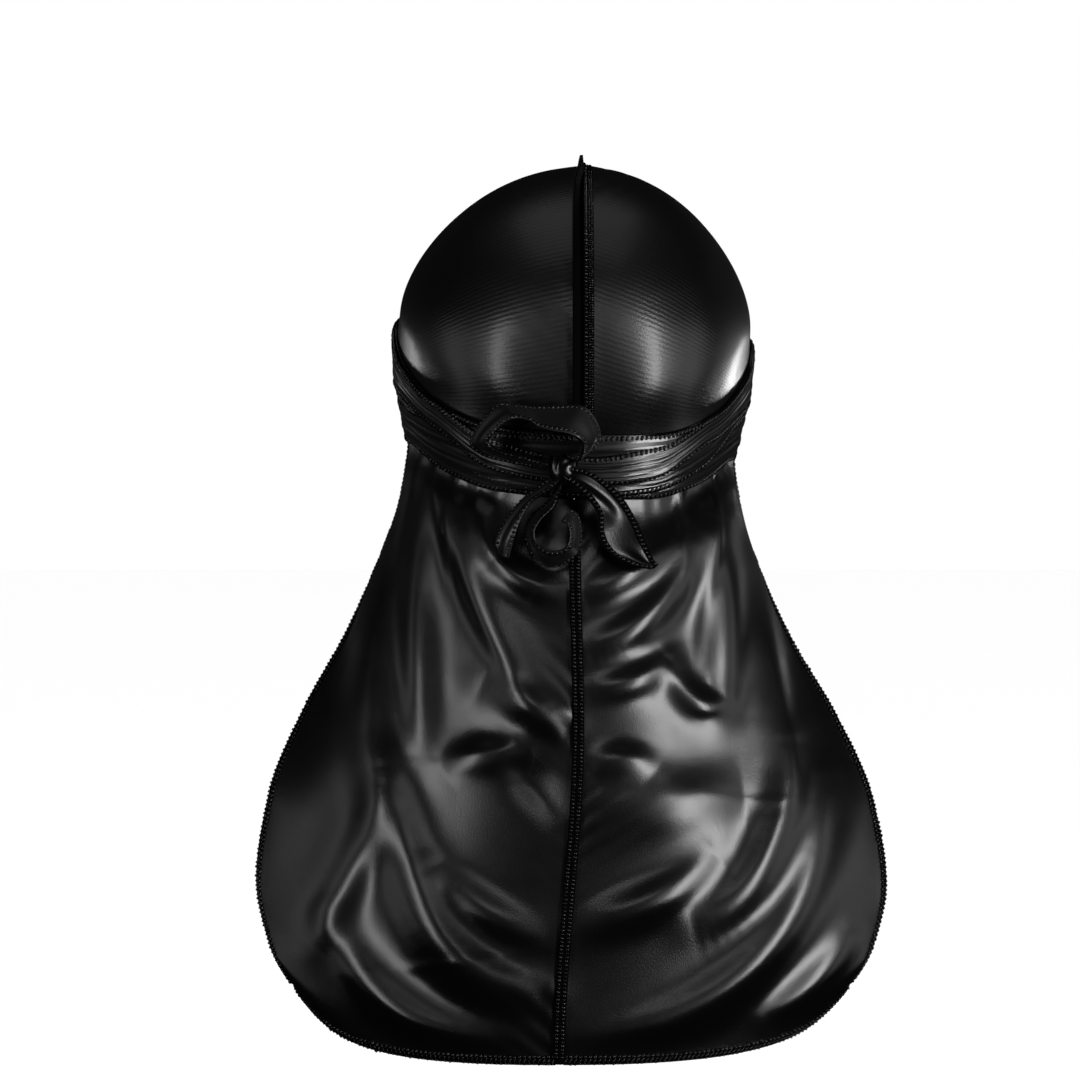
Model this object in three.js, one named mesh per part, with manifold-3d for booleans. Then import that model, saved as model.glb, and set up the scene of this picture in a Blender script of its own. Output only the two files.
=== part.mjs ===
// A satin durag, tied on a head: two panels joined by a raised seam, two straps wound round
// the head over the panels, and a knot with its bow at the back.
// Millimetres, +Z up, +Y the way the wearer faces, +X the wearer's right.
// The origin is the inside top of the crown, where the head bears.
import * as THREE from 'three';
import { mergeVertices } from 'three/addons/utils/BufferGeometryUtils.js';
import Module from 'manifold-3d';

const { clamp, degToRad, lerp, radToDeg, smoothstep } = THREE.MathUtils;
const wasm = await Module();
wasm.setup();

// Cloth
const PANEL_WALL = 1.0;
const STRAP_WALL = 1.1;
const PLEAT_DEPTH = 0.4; // how deep the strap's lengthwise pleats are
const LAY_GAP = 0.4; // air between two layers that lie on each other
const SEAM_GAP = 0.4; // air between the two panels at the centre

// Hollow for the head. Its widest level is the zero of every height below
const HALF_BREADTH = 82.6;
const BACK_DEPTH = 96;
const FRONT_DEPTH = 99;
const CROWN_RISE = 83.3; // from the widest level up to the inside top
const NAPE_REACH = 130; // how far below the widest level the form would close
const PLAN_POWER = 2.1; // 2 is an ellipse, more is squarer
const RISE_POWER = 1.92;
const CROWN_REACH = 0.97; // share of the way from the seam to the ear that each panel covers

// Band that the straps make round the head
const BAND_HEIGHT = 54; // at the sides, where it is tallest
const BAND_ROLL = 4.5; // how much higher it sits on the left than in the middle
const FRONT_HEM_DROP = 27; // hem on the forehead, below the widest level

// Flap, from the lower edge of the band
const FLAP_LENGTH = 255; // at the centre
const FLAP_HALF_WIDTH = 147;
const HEM_RISE = 29; // how much higher the flap's hem is at its corners than at the centre
const HEM_POWER = 4; // the higher, the tighter the hem turns up at its corners
const FLAP_FOLD = 9; // height of the largest fold
const FOLD_ENDS = 0.35; // share of its height that a fold keeps at its ends
const GRIP_REACH = 0.12; // share of the flap's length that the band's grip flattens
const EDGE_CALM = { from: 0.75, share: 0.7 }; // folds lose this share from here out to the side edge
const HEM_CALM = { from: 0.85, share: 0.5 }; // and this share from here down to the hem

// Raised seam
const CROWN_SEAM_WIDTH = 2.4;
const CROWN_SEAM_HEIGHT = 4.6;
const FLAP_SEAM_WIDTH = 3.4;
const FLAP_SEAM_HEIGHT = 2.2;
const SEAM_CLEAR = 1.2; // from the crown seam's ends to the straps
const SEAM_RIDGE = 0.2; // share of a seam's height that its middle stands above its sides
const SEAM_DRIFT = 7; // how far the flap's seam wanders to the left at its foot
const SEAM_BOW = 0.3; // share of the drift that it first bows to the right
const DRIFT_START = 0.35; // share of the flap's length where the drift begins

// Knot and bow
const KNOT_WIDTH = 15;
const KNOT_HEIGHT = 15;
const KNOT_DEPTH = 10;
const KNOT_SHIFT = -5.5; // to the left of the centre
const KNOT_FLAT = 0.3; // share of the knot's half depth that its flat back takes off
const KNOT_PINCH = 0.1; // how much the knot is drawn in across, and swells up and down
const TIE_LAYER = 4; // the layer over the panels on which the knot sits
const BOW_SPAN = 40; // from the knot to the tip of the longest piece
const BOW_WALL = 1.0;
const BOW_GAP = 0.4; // air between the knot and each piece of the bow

// Steps of the faceted surfaces
const ACROSS_STEPS = 19;
const HEM_STEPS = 2;
const CROWN_STEPS = 14;
const UNDER_BAND_STEPS = 2;
const FLAP_STEPS = 25;
const STRAP_STEP = 7.4; // degrees
const PLEATS = 2;
const RIBBON_STEPS = 3;
const RIBBON_ACROSS = 2;
const BEND_STEPS = 10;
const KNOT_SIDES = 16;
const KNOT_RINGS = 12;

// The band, from the back centre to the forehead: middle is a share of CROWN_RISE, height of BAND_HEIGHT
const BAND = [
  { azimuth: 0, middle: -0.702, height: 0.54 },
  { azimuth: 25, middle: -0.678, height: 0.56 },
  { azimuth: 46, middle: -0.574, height: 0.61 },
  { azimuth: 65, middle: -0.408, height: 0.7 },
  { azimuth: 90, middle: -0.258, height: 1 },
  { azimuth: 135, middle: -0.075, height: 0.93 },
  { azimuth: 180, middle: 0, height: 0.86 },
];

// One strap, from its root at the temple round to the knot. turn is the azimuth on its own side, place its
// middle as a share of half the band, width a share of the band. The last two are its layer over the panels:
// outer for the strap that crosses on top, inner for the other
const STRAP = [
  { turn: 116, place: 0.5, width: 0.48, outer: 1, inner: 1 },
  { turn: 90, place: 0.5, width: 0.48, outer: 1, inner: 1 },
  { turn: 68, place: 0.5, width: 0.48, outer: 2, inner: 1 },
  { turn: 46, place: 0.25, width: 0.73, outer: 2, inner: 1 },
  { turn: 25, place: 0.1, width: 0.88, outer: 2, inner: 1 },
  { turn: 0, place: 0, width: 0.96, outer: 2, inner: 1 },
  { turn: -25, place: -0.1, width: 0.88, outer: 2, inner: 1 },
  { turn: -46, place: -0.25, width: 0.73, outer: 2, inner: 1 },
  { turn: -68, place: -0.5, width: 0.48, outer: 2, inner: 1 },
  { turn: -90, place: -0.5, width: 0.48, outer: 1, inner: 1 },
  { turn: -125, place: -0.5, width: 0.48, outer: 1, inner: 1 },
  { turn: -150, place: -0.5, width: 0.48, outer: 2, inner: 1 },
  { turn: -180, place: 0, width: 0.6, outer: 2, inner: 1 },
  { turn: -210, place: 0.5, width: 0.48, outer: 2, inner: 1 },
  { turn: -235, place: 0.5, width: 0.48, outer: 2, inner: 2 },
  { turn: -270, place: 0.48, width: 0.48, outer: 2, inner: 2 },
  { turn: -292, place: 0.56, width: 0.4, outer: 3, inner: 3 },
  { turn: -314, place: 0.62, width: 0.35, outer: 3, inner: 3 },
  { turn: -335, place: 0.12, width: 0.46, outer: 3, inner: 3 },
  { turn: -356.5, place: -0.1, width: 0.38, outer: 3, inner: 3 },
];

// The flap's sections: drop is a share of FLAP_LENGTH, width of FLAP_HALF_WIDTH, back and edge of BACK_DEPTH
// (behind the centre of the head), and arc is half of what the section sweeps, in degrees
const FLAP = [
  { drop: 0, width: 0.53, back: -0.82, edge: -0.02, arc: 86 },
  { drop: 0.1, width: 0.55, back: -0.87, edge: 0.0, arc: 86 },
  { drop: 0.2, width: 0.605, back: -0.92, edge: 0.0, arc: 84 },
  { drop: 0.35, width: 0.72, back: -0.99, edge: -0.08, arc: 80 },
  { drop: 0.5, width: 0.862, back: -1.05, edge: -0.23, arc: 75 },
  { drop: 0.65, width: 0.965, back: -1.09, edge: -0.39, arc: 70 },
  { drop: 0.8, width: 1, back: -1.12, edge: -0.53, arc: 66 },
  { drop: 0.92, width: 0.94, back: -1.13, edge: -0.62, arc: 63 },
  { drop: 1, width: 0.87, back: -1.13, edge: -0.66, arc: 60 },
];

// Folds of the flap. Each place is [across, down]: across runs from -1 at the left edge through 0 at the seam
// to 1, down is a share of the flap's length, and a fold bends from start by way of middle to end. spread is
// half its width as a share of FLAP_HALF_WIDTH, height a share of FLAP_FOLD, with hollows negative
const FOLDS = [
  { start: [-0.95, 0.02], middle: [-0.78, 0.3], end: [-0.72, 0.98], spread: 0.11, height: 0.8 },
  { start: [-0.7, 0.0], middle: [-0.62, 0.3], end: [-0.5, 0.5], spread: 0.12, height: 0.9 },
  { start: [-0.55, 0.02], middle: [-0.3, 0.22], end: [-0.06, 0.4], spread: 0.1, height: 0.75 },
  { start: [-0.6, 0.42], middle: [-0.42, 0.85], end: [-0.04, 0.9], spread: 0.11, height: 0.8 },
  { start: [-0.85, 0.66], middle: [-0.5, 1.0], end: [-0.08, 0.98], spread: 0.1, height: 0.6 },
  { start: [-0.45, 0.1], middle: [0.0, 0.26], end: [0.45, 0.06], spread: 0.09, height: 0.6 },
  { start: [-0.42, 0.36], middle: [0.0, 0.52], end: [0.3, 0.44], spread: 0.09, height: 0.55 },
  { start: [0.5, 0.1], middle: [0.3, 0.3], end: [0.03, 0.33], spread: 0.09, height: 0.7 },
  { start: [0.66, 0.0], middle: [0.6, 0.3], end: [0.46, 0.42], spread: 0.11, height: 0.9 },
  { start: [0.9, 0.02], middle: [0.82, 0.4], end: [0.72, 0.66], spread: 0.1, height: 0.7 },
  { start: [0.9, 0.5], middle: [1.0, 0.8], end: [0.1, 1.0], spread: 0.1, height: 0.8 },
  { start: [0.72, 0.52], middle: [0.55, 0.86], end: [0.05, 0.8], spread: 0.11, height: 0.7 },
  { start: [-0.3, 0.68], middle: [0.0, 0.72], end: [0.34, 0.62], spread: 0.1, height: -0.5 },
  { start: [-0.5, 0.12], middle: [-0.2, 0.4], end: [-0.04, 0.56], spread: 0.09, height: -0.4 },
];

// The bow's pieces. lean tips a piece's top out from the head, in degrees, and a minus its foot. Each cut
// across the cloth has two edges, each given as right, up and out from the knot's foot, in shares of BOW_SPAN
const BOW = {
  bow_loop: {
    lean: 0,
    cuts: [
      { far: [0.05, 0.06, 0.02], near: [0.08, 0.04, 0.2] },
      { far: [0.36, 0.26, 0.02], near: [0.3, 0.16, 0.4] },
      { far: [0.42, 0.48, 0.02], near: [0.24, 0.3, 0.44] },
      { far: [0.3, 0.66, 0.02], near: [0.08, 0.42, 0.46] },
      { far: [0.0, 0.7, 0.02], near: [-0.14, 0.44, 0.46] },
      { far: [-0.38, 0.7, 0.02], near: [-0.42, 0.52, 0.4] },
      { far: [-0.78, 0.62, 0.03], near: [-0.76, 0.5, 0.3] },
      { far: [-0.98, 0.4, 0.04], near: [-0.86, 0.3, 0.3] },
      { far: [-0.86, 0.16, 0.04], near: [-0.72, 0.08, 0.3] },
      { far: [-0.5, 0.08, 0.04], near: [-0.46, -0.02, 0.26] },
      { far: [-0.06, 0.04, 0.04], near: [-0.06, -0.02, 0.18] },
    ],
  },
  bow_curl: {
    lean: -22,
    cuts: [
      { far: [0.0, -0.04, 0.04], near: [0.02, -0.06, 0.18] },
      { far: [0.22, -0.4, 0.02], near: [0.2, -0.46, 0.36] },
      { far: [0.36, -0.72, 0.02], near: [0.24, -0.76, 0.4] },
      { far: [0.2, -0.98, 0.02], near: [0.04, -0.92, 0.42] },
      { far: [-0.16, -1.02, 0.02], near: [-0.2, -0.88, 0.42] },
      { far: [-0.34, -0.8, 0.02], near: [-0.3, -0.7, 0.4] },
      { far: [-0.26, -0.58, 0.02], near: [-0.18, -0.54, 0.34] },
      { far: [-0.04, -0.56, 0.06], near: [0.0, -0.58, 0.3] },
    ],
  },
  tail_left: {
    lean: -24,
    cuts: [
      { far: [-0.06, -0.04, 0.04], near: [-0.06, -0.06, 0.18] },
      { far: [-0.42, -0.36, 0.02], near: [-0.3, -0.4, 0.24] },
      { far: [-0.7, -0.66, 0.0], near: [-0.5, -0.68, 0.26] },
      { far: [-0.84, -0.9, 0.0], near: [-0.6, -0.94, 0.22] },
      { far: [-0.8, -1.06, 0.0], near: [-0.66, -1.06, 0.14] },
    ],
  },
  tail_right: {
    lean: -20,
    cuts: [
      { far: [0.04, 0.0, 0.04], near: [0.04, -0.04, 0.18] },
      { far: [0.4, -0.14, 0.04], near: [0.32, -0.28, 0.26] },
      { far: [0.6, -0.38, 0.0], near: [0.44, -0.46, 0.22] },
      { far: [0.82, -0.62, -0.06], near: [0.46, -0.68, 0.14] },
      { far: [0.98, -0.86, -0.12], near: [0.66, -0.92, 0.06] },
      { far: [1.06, -1.04, -0.16], near: [0.94, -1.08, -0.04] },
    ],
  },
};

// A table's column read between its rows, by cubics that never pass a row's value
function between(table, key, column, at) {
  const rising = table[table.length - 1][key] > table[0][key] ? 1 : -1;
  const found = table.findIndex((row) => (at - row[key]) * rising < 0);
  const to = found < 0 ? table.length - 1 : Math.max(found, 1);
  const secant = (i) => {
    const [a, b] = [table[i], table[i + 1]];
    return a && b ? (b[column] - a[column]) / (b[key] - a[key]) : 0;
  };
  const slope = (i) => {
    const [before, after] = [secant(i - 1), secant(i)];
    return before * after > 0 ? (2 * before * after) / (before + after) : 0;
  };
  const [a, b] = [table[to - 1], table[to]];
  const span = b[key] - a[key];
  const t = clamp((at - a[key]) / span, 0, 1);
  return (
    a[column] * (1 + 2 * t) * (1 - t) ** 2 +
    b[column] * t * t * (3 - 2 * t) +
    span * (slope(to - 1) * t * (1 - t) ** 2 - slope(to) * t * t * (1 - t))
  );
}

// The head form's half breadth, depth and height on the side where a point lies
function formSize(y, z) {
  return [HALF_BREADTH, y < 0 ? BACK_DEPTH : FRONT_DEPTH, z > 0 ? CROWN_RISE : NAPE_REACH];
}

// The form's outward direction at a point
function formNormal(point) {
  const size = formSize(point.y, point.z);
  const [x, y, z] = point.toArray().map((value, axis) => Math.abs(value) / size[axis]);
  const plan = x + y > 0 ? (x ** PLAN_POWER + y ** PLAN_POWER) ** (RISE_POWER / PLAN_POWER - 1) : 0;
  const slopes = [plan * x ** (PLAN_POWER - 1), plan * y ** (PLAN_POWER - 1), z ** (RISE_POWER - 1)];
  const normal = point.toArray().map((value, axis) => (Math.sign(value) * slopes[axis]) / size[axis]);
  return new THREE.Vector3(...normal).normalize();
}

// The form's point in a direction from the middle of its widest level
function formToward(direction) {
  const size = formSize(direction.y, direction.z);
  const [x, y, z] = direction.toArray().map((value, axis) => Math.abs(value) / size[axis]);
  const reach = (x ** PLAN_POWER + y ** PLAN_POWER) ** (RISE_POWER / PLAN_POWER) + z ** RISE_POWER;
  return direction.clone().multiplyScalar(reach ** (-1 / RISE_POWER));
}

// The form's point at an azimuth in degrees, 0 at the back and 90 on +X, and at a height, moved out by lift
function formAt(azimuth, height, lift = 0) {
  const [x, y] = [Math.sin(degToRad(azimuth)), -Math.cos(degToRad(azimuth))];
  const [breadth, depth, rise] = formSize(y, height);
  const plan = (Math.abs(x / breadth) ** PLAN_POWER + Math.abs(y / depth) ** PLAN_POWER) ** (1 / PLAN_POWER);
  const share = (1 - Math.abs(height / rise) ** RISE_POWER) ** (1 / RISE_POWER);
  const point = new THREE.Vector3((x * share) / plan, (y * share) / plan, height);
  return point.addScaledVector(formNormal(point), lift);
}

// The heights of the band's middle and edges at an azimuth
function bandAt(azimuth) {
  const turned = degToRad(azimuth);
  const folded = Math.abs(radToDeg(Math.atan2(Math.sin(turned), Math.cos(turned))));
  const middle = between(BAND, 'azimuth', 'middle', folded) * CROWN_RISE - BAND_ROLL * Math.sin(turned);
  const half = (between(BAND, 'azimuth', 'height', folded) * BAND_HEIGHT) / 2;
  return { middle, half, top: middle + half, foot: middle - half };
}

// How far out from the panels' inside a layer of strap lies
function layerLift(layer) {
  return PANEL_WALL + LAY_GAP + (layer - 1) * (STRAP_WALL + LAY_GAP);
}

// The outer face of a wall: a grid of points moved out by its thickness. Down a seam's column the way out
// stays in the seam's own plane, so that the two cloths that meet there keep their gap
function outerFace(rows, thickness, seamColumn = -1) {
  const lastRow = rows.length - 1;
  const lastColumn = rows[0].length - 1;
  return rows.map((row, i) =>
    row.map((point, j) => {
      const down = rows[Math.min(i + 1, lastRow)][j].clone().sub(rows[Math.max(i - 1, 0)][j]);
      const across = row[Math.min(j + 1, lastColumn)].clone().sub(row[Math.max(j - 1, 0)]);
      const outward = down.cross(across);
      if (j === seamColumn) outward.x = 0;
      return point.clone().addScaledVector(outward.normalize(), thickness(j));
    }),
  );
}

function meshOf(positions, index) {
  const geometry = new THREE.BufferGeometry();
  geometry.setAttribute('position', new THREE.Float32BufferAttribute(positions, 3));
  geometry.setIndex(index);
  geometry.computeVertexNormals();
  return geometry;
}

// A closed body between two grids of points
function wallBetween(inner, outer) {
  const [high, wide] = [inner.length, inner[0].length];
  const positions = [...inner, ...outer].flat().flatMap((point) => point.toArray());
  const index = [];
  const quad = (a, b, c, d) => index.push(a, b, c, a, c, d);
  const inside = (i, j) => i * wide + j;
  const outside = (i, j) => (high + i) * wide + j;
  for (let i = 0; i < high - 1; i += 1) {
    for (let j = 0; j < wide - 1; j += 1) {
      quad(outside(i, j), outside(i + 1, j), outside(i + 1, j + 1), outside(i, j + 1));
      quad(inside(i, j), inside(i, j + 1), inside(i + 1, j + 1), inside(i + 1, j));
    }
    quad(inside(i, 0), inside(i + 1, 0), outside(i + 1, 0), outside(i, 0));
    quad(outside(i, wide - 1), outside(i + 1, wide - 1), inside(i + 1, wide - 1), inside(i, wide - 1));
  }
  for (let j = 0; j < wide - 1; j += 1) {
    quad(outside(0, j), outside(0, j + 1), inside(0, j + 1), inside(0, j));
    quad(inside(high - 1, j), inside(high - 1, j + 1), outside(high - 1, j + 1), outside(high - 1, j));
  }
  return meshOf(positions, index);
}

// What is left of one body when another is cut from it
function cutAway(body, cutter) {
  const [from, away] = [body, cutter].map((geometry) => {
    const bare = geometry.clone();
    bare.deleteAttribute('normal');
    bare.deleteAttribute('uv');
    const merged = mergeVertices(bare);
    const vertProperties = merged.attributes.position.array;
    return new wasm.Manifold(new wasm.Mesh({ numProp: 3, vertProperties, triVerts: merged.index.array }));
  });
  const left = from.subtract(away).getMesh();
  return meshOf([...left.vertProperties], [...left.triVerts]);
}

// How far the flap's seam stands to the right of the centre at a share of the flap's length
function seamShift(down) {
  return SEAM_DRIFT * (SEAM_BOW * Math.sin(Math.PI * down) ** 2 - smoothstep(down, DRIFT_START, 1));
}

// Each fold's line as a chain of points, in shares across and down
const foldLines = FOLDS.map((fold) =>
  new THREE.QuadraticBezierCurve(
    ...[fold.start, fold.middle, fold.end].map((place) => new THREE.Vector2(...place)),
  ).getPoints(BEND_STEPS),
);

// How far the folds bulge the flap at one place
function foldHeight(across, down) {
  const scale = new THREE.Vector2(between(FLAP, 'drop', 'width', down) * FLAP_HALF_WIDTH, FLAP_LENGTH);
  const place = new THREE.Vector2(across, down).multiply(scale);
  return FOLDS.reduce((sum, fold, index) => {
    let nearest = Infinity;
    let along = 0;
    const line = foldLines[index].map((point) => point.clone().multiply(scale));
    for (let step = 0; step < BEND_STEPS; step += 1) {
      const run = line[step + 1].clone().sub(line[step]);
      const reach = clamp(place.clone().sub(line[step]).dot(run) / run.lengthSq(), 0, 1);
      const far = place.distanceTo(line[step].clone().addScaledVector(run, reach));
      if (far < nearest) {
        nearest = far;
        along = (step + reach) / BEND_STEPS;
      }
    }
    const swell = lerp(FOLD_ENDS, 1, Math.sin(Math.PI * along));
    const profile = Math.exp(-((nearest / (fold.spread * FLAP_HALF_WIDTH)) ** 2));
    return sum + fold.height * FLAP_FOLD * swell * profile;
  }, 0);
}

// How much of the folds is left at a place: none where the band grips the cloth, little along its edges
function foldShare(across, down) {
  const atEdge = 1 - EDGE_CALM.share * smoothstep(Math.abs(across), EDGE_CALM.from, 1);
  const atHem = 1 - HEM_CALM.share * smoothstep(down, HEM_CALM.from, 1);
  return smoothstep(down, 0, GRIP_REACH) * atEdge * atHem;
}

// A place on a level section of the hanging flap before its folds. across is 0 at the seam and 1 at the edge
function flapSection(across, down) {
  const read = (column) => between(FLAP, 'drop', column, down);
  const arc = degToRad(read('arc'));
  const swing = (1 - Math.cos(across * arc)) / (1 - Math.cos(arc));
  return new THREE.Vector3(
    (read('width') * FLAP_HALF_WIDTH * Math.sin(across * arc)) / Math.sin(arc),
    lerp(read('back'), read('edge'), swing) * BACK_DEPTH,
    0,
  );
}

// The turn over the crown of a point of the middle plane, from the back level through the top
function turnOf(point) {
  const turn = Math.atan2(point.z, -point.y);
  return point.y > 0 && turn < 0 ? turn + 2 * Math.PI : turn;
}

// The crown's half of a panel, from the hem on the forehead over the top to the middle of the band at the
// back. Its columns run from the seam to the ear
function crownRows(side) {
  const [nape, brow] = [bandAt(0), bandAt(180)];
  const stops = [
    formAt(180, -FRONT_HEM_DROP),
    formAt(180, brow.top + SEAM_CLEAR),
    formAt(0, nape.top + SEAM_CLEAR),
    formAt(0, nape.middle),
  ].map(turnOf);
  const turns = [stops[0]];
  [HEM_STEPS, CROWN_STEPS, 1].forEach((steps, k) => {
    for (let i = 1; i <= steps; i += 1) turns.push(lerp(stops[k], stops[k + 1], i / steps));
  });
  const ear = formAt(side * 90, bandAt(side * 90).middle).normalize();
  return turns.map((turn) => {
    const ridge = new THREE.Vector3(0, -Math.cos(turn), Math.sin(turn));
    const apart = ridge.angleTo(ear);
    return Array.from({ length: ACROSS_STEPS + 1 }, (_, j) => {
      const share = (CROWN_REACH * j) / ACROSS_STEPS;
      const toward = ridge.clone().multiplyScalar(Math.sin((1 - share) * apart));
      return formToward(toward.addScaledVector(ear, Math.sin(share * apart)));
    });
  });
}

// The flap's half of a panel, hung from the row of points where it leaves the band
function flapRows(side, rim) {
  const hang = (down) =>
    rim.map((start, j) => {
      const across = j / ACROSS_STEPS;
      const fall = flapSection(across, down).sub(flapSection(across, 0));
      const hem = rim[0].z - FLAP_LENGTH + HEM_RISE * across ** HEM_POWER;
      fall.set(side * fall.x + seamShift(down) * (1 - across) ** 2, fall.y, down * (hem - start.z));
      return start.clone().add(fall);
    });
  return Array.from({ length: FLAP_STEPS }, (_, i) => {
    const down = (i + 1) / FLAP_STEPS;
    const plain = hang(down);
    return plain.map((point, j) => {
      const run = plain[Math.min(j + 1, ACROSS_STEPS)].clone().sub(plain[Math.max(j - 1, 0)]);
      const outward = j === 0 ? new THREE.Vector3(0, -1, 0) : new THREE.Vector3(side * run.y, -side * run.x, 0);
      const across = (side * j) / ACROSS_STEPS;
      const bulge = foldShare(across, down) * foldHeight(across, down);
      return point.clone().addScaledVector(outward.normalize(), bulge);
    });
  });
}

// Both faces of one panel, crown and flap in one cloth. side is 1 on the right and -1 on the left, and the
// left panel's columns run the other way, so that both walls thicken outwards
function panelFaces(side) {
  const rows = crownRows(side);
  const seat = rows[rows.length - 1].map((point) => {
    const azimuth = radToDeg(Math.atan2(point.x, -point.y));
    return { azimuth, top: point.z, foot: bandAt(azimuth).foot };
  });
  for (let i = 1; i <= UNDER_BAND_STEPS; i += 1) {
    rows.push(seat.map(({ azimuth, top, foot }) => formAt(azimuth, lerp(top, foot, i / UNDER_BAND_STEPS))));
  }
  const rim = rows.length - 1;
  rows.push(...flapRows(side, rows[rim]));
  rows.forEach((row, i) => {
    row[0].x = seamShift(Math.max(0, i - rim) / FLAP_STEPS) + (side * SEAM_GAP) / 2;
  });
  const inner = side > 0 ? rows : rows.map((row) => [...row].reverse());
  const outer = outerFace(inner, () => PANEL_WALL, side > 0 ? 0 : ACROSS_STEPS);
  return { inner, outer, rim };
}

// Where the knot lies round the back of the head
const knotTurn = radToDeg(Math.asin(KNOT_SHIFT / BACK_DEPTH));

// One strap, wound from its root at the temple to the knot, with pleats along its outer face
function strap(side, layer) {
  const [start, end] = [STRAP[0].turn, STRAP[STRAP.length - 1].turn + side * knotTurn];
  const steps = Math.round((start - end) / STRAP_STEP);
  const columns = 2 * PLEATS;
  const rows = Array.from({ length: steps + 1 }, (_, i) => {
    const turn = lerp(start, end, i / steps);
    const { middle, half } = bandAt(side * turn);
    const centre = middle + between(STRAP, 'turn', 'place', turn) * half;
    const reach = between(STRAP, 'turn', 'width', turn) * half;
    const lift = layerLift(between(STRAP, 'turn', layer, turn));
    return Array.from({ length: columns + 1 }, (__, j) =>
      formAt(side * turn, centre + side * lerp(reach, -reach, j / columns), lift),
    );
  });
  return wallBetween(rows, outerFace(rows, (j) => STRAP_WALL - (j % 2) * PLEAT_DEPTH));
}

// A raised seam along the join of the two panels, from one row of their outer faces to another. skip is the
// share of the first step that it leaves out
function raisedSeam(right, left, { from, to, skip, width, height }) {
  const last = ACROSS_STEPS;
  const sections = [];
  for (let i = from; i <= to; i += 1) {
    const at = (face, j) => (i === from ? face[i][j].clone().lerp(face[i + 1][j], skip) : face[i][j]);
    const centre = at(right, 0).clone().lerp(at(left, last), 0.5);
    const down = right[Math.min(i + 1, right.length - 1)][0].clone().sub(right[i - 1][0]);
    const outward = new THREE.Vector3(0, down.z, -down.y).normalize();
    const beside = (near, next) => near.clone().lerp(next, width / 2 / near.distanceTo(next));
    const feet = [beside(at(left, last), at(left, last - 1)), centre, beside(at(right, 0), at(right, 1))];
    const raised = (share) => feet.map((foot) => foot.clone().addScaledVector(outward, LAY_GAP + share * height));
    const shoulders = raised(1 - SEAM_RIDGE);
    shoulders[1].addScaledVector(outward, SEAM_RIDGE * height);
    sections.push([...raised(0), ...shoulders.reverse()]);
  }
  const around = sections[0].length;
  const end = (sections.length - 1) * around;
  const index = [];
  const quad = (a, b, c, d) => index.push(a, b, c, a, c, d);
  for (let i = 0; i < sections.length - 1; i += 1) {
    for (let j = 0; j < around; j += 1) {
      const [a, b] = [i * around + j, i * around + ((j + 1) % around)];
      quad(a, b, b + around, a + around);
    }
  }
  const halves = [
    [0, 5, 4, 1],
    [1, 4, 3, 2],
  ];
  halves.forEach(([a, b, c, d]) => {
    quad(a, b, c, d);
    quad(end + a, end + d, end + c, end + b);
  });
  return meshOf(sections.flat().flatMap((point) => point.toArray()), index);
}

// The knot, a pinched ball with a flat back, about its own foot. grown swells it, for cutting room round it
function knot(grown = 0) {
  const geometry = new THREE.SphereGeometry(1, KNOT_SIDES, KNOT_RINGS);
  const half = new THREE.Vector3(KNOT_WIDTH / 2, KNOT_DEPTH / (2 - KNOT_FLAT), KNOT_HEIGHT / 2);
  const { position } = geometry.attributes;
  const point = new THREE.Vector3();
  for (let i = 0; i < position.count; i += 1) {
    point.fromBufferAttribute(position, i);
    const pinch = 1 - KNOT_PINCH * Math.cos(2 * Math.atan2(point.z, point.x)) * (1 - point.y ** 2);
    const depth = point.y * (half.y + grown) - half.y * (1 - KNOT_FLAT);
    position.setXYZ(
      i,
      point.x * pinch * (half.x + grown),
      Math.min(depth, grown),
      point.z * pinch * (half.z + grown),
    );
  }
  geometry.computeVertexNormals();
  return geometry;
}

// A piece of the bow about the knot's foot, cut clear of the knot
function bowPiece({ lean, cuts }) {
  const [far, near] = ['far', 'near'].map((edge) => {
    const points = cuts.map((cut) => new THREE.Vector3(cut[edge][0], -cut[edge][2], cut[edge][1]));
    return new THREE.CatmullRomCurve3(points.map((point) => point.multiplyScalar(BOW_SPAN)));
  });
  const steps = (cuts.length - 1) * RIBBON_STEPS;
  const rows = Array.from({ length: steps + 1 }, (_, i) => {
    const [a, b] = [far.getPoint(i / steps), near.getPoint(i / steps)];
    return Array.from({ length: RIBBON_ACROSS + 1 }, (__, j) => a.clone().lerp(b, j / RIBBON_ACROSS));
  });
  const ribbon = wallBetween(rows, outerFace(rows, () => BOW_WALL));
  return cutAway(ribbon.rotateX(degToRad(lean)), knot(BOW_GAP));
}

const right = panelFaces(1);
const left = panelFaces(-1);
const crownSeam = {
  from: HEM_STEPS,
  to: HEM_STEPS + CROWN_STEPS,
  skip: 0,
  width: CROWN_SEAM_WIDTH,
  height: CROWN_SEAM_HEIGHT,
};
const flapSeam = {
  from: right.rim,
  to: right.rim + FLAP_STEPS,
  skip: (SEAM_CLEAR * FLAP_STEPS) / FLAP_LENGTH,
  width: FLAP_SEAM_WIDTH,
  height: FLAP_SEAM_HEIGHT,
};

const satin = { color: 0x0b0b0d, roughness: 0.34, metalness: 0 };
const sewn = { color: 0x0a0a0b, roughness: 0.5, metalness: 0 };

function pieceOf(name, geometry, finish) {
  const mesh = new THREE.Mesh(geometry, new THREE.MeshStandardMaterial(finish));
  mesh.name = name;
  return mesh;
}

const durag = new THREE.Group();
durag.position.z = -CROWN_RISE;
durag.add(
  pieceOf('panel_right', wallBetween(right.inner, right.outer), satin),
  pieceOf('panel_left', wallBetween(left.inner, left.outer), satin),
  pieceOf('crown_seam', raisedSeam(right.outer, left.outer, crownSeam), sewn),
  pieceOf('flap_seam', raisedSeam(right.outer, left.outer, flapSeam), sewn),
  pieceOf('strap_right', strap(1, 'outer'), satin),
  pieceOf('strap_left', strap(-1, 'inner'), satin),
);

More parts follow.
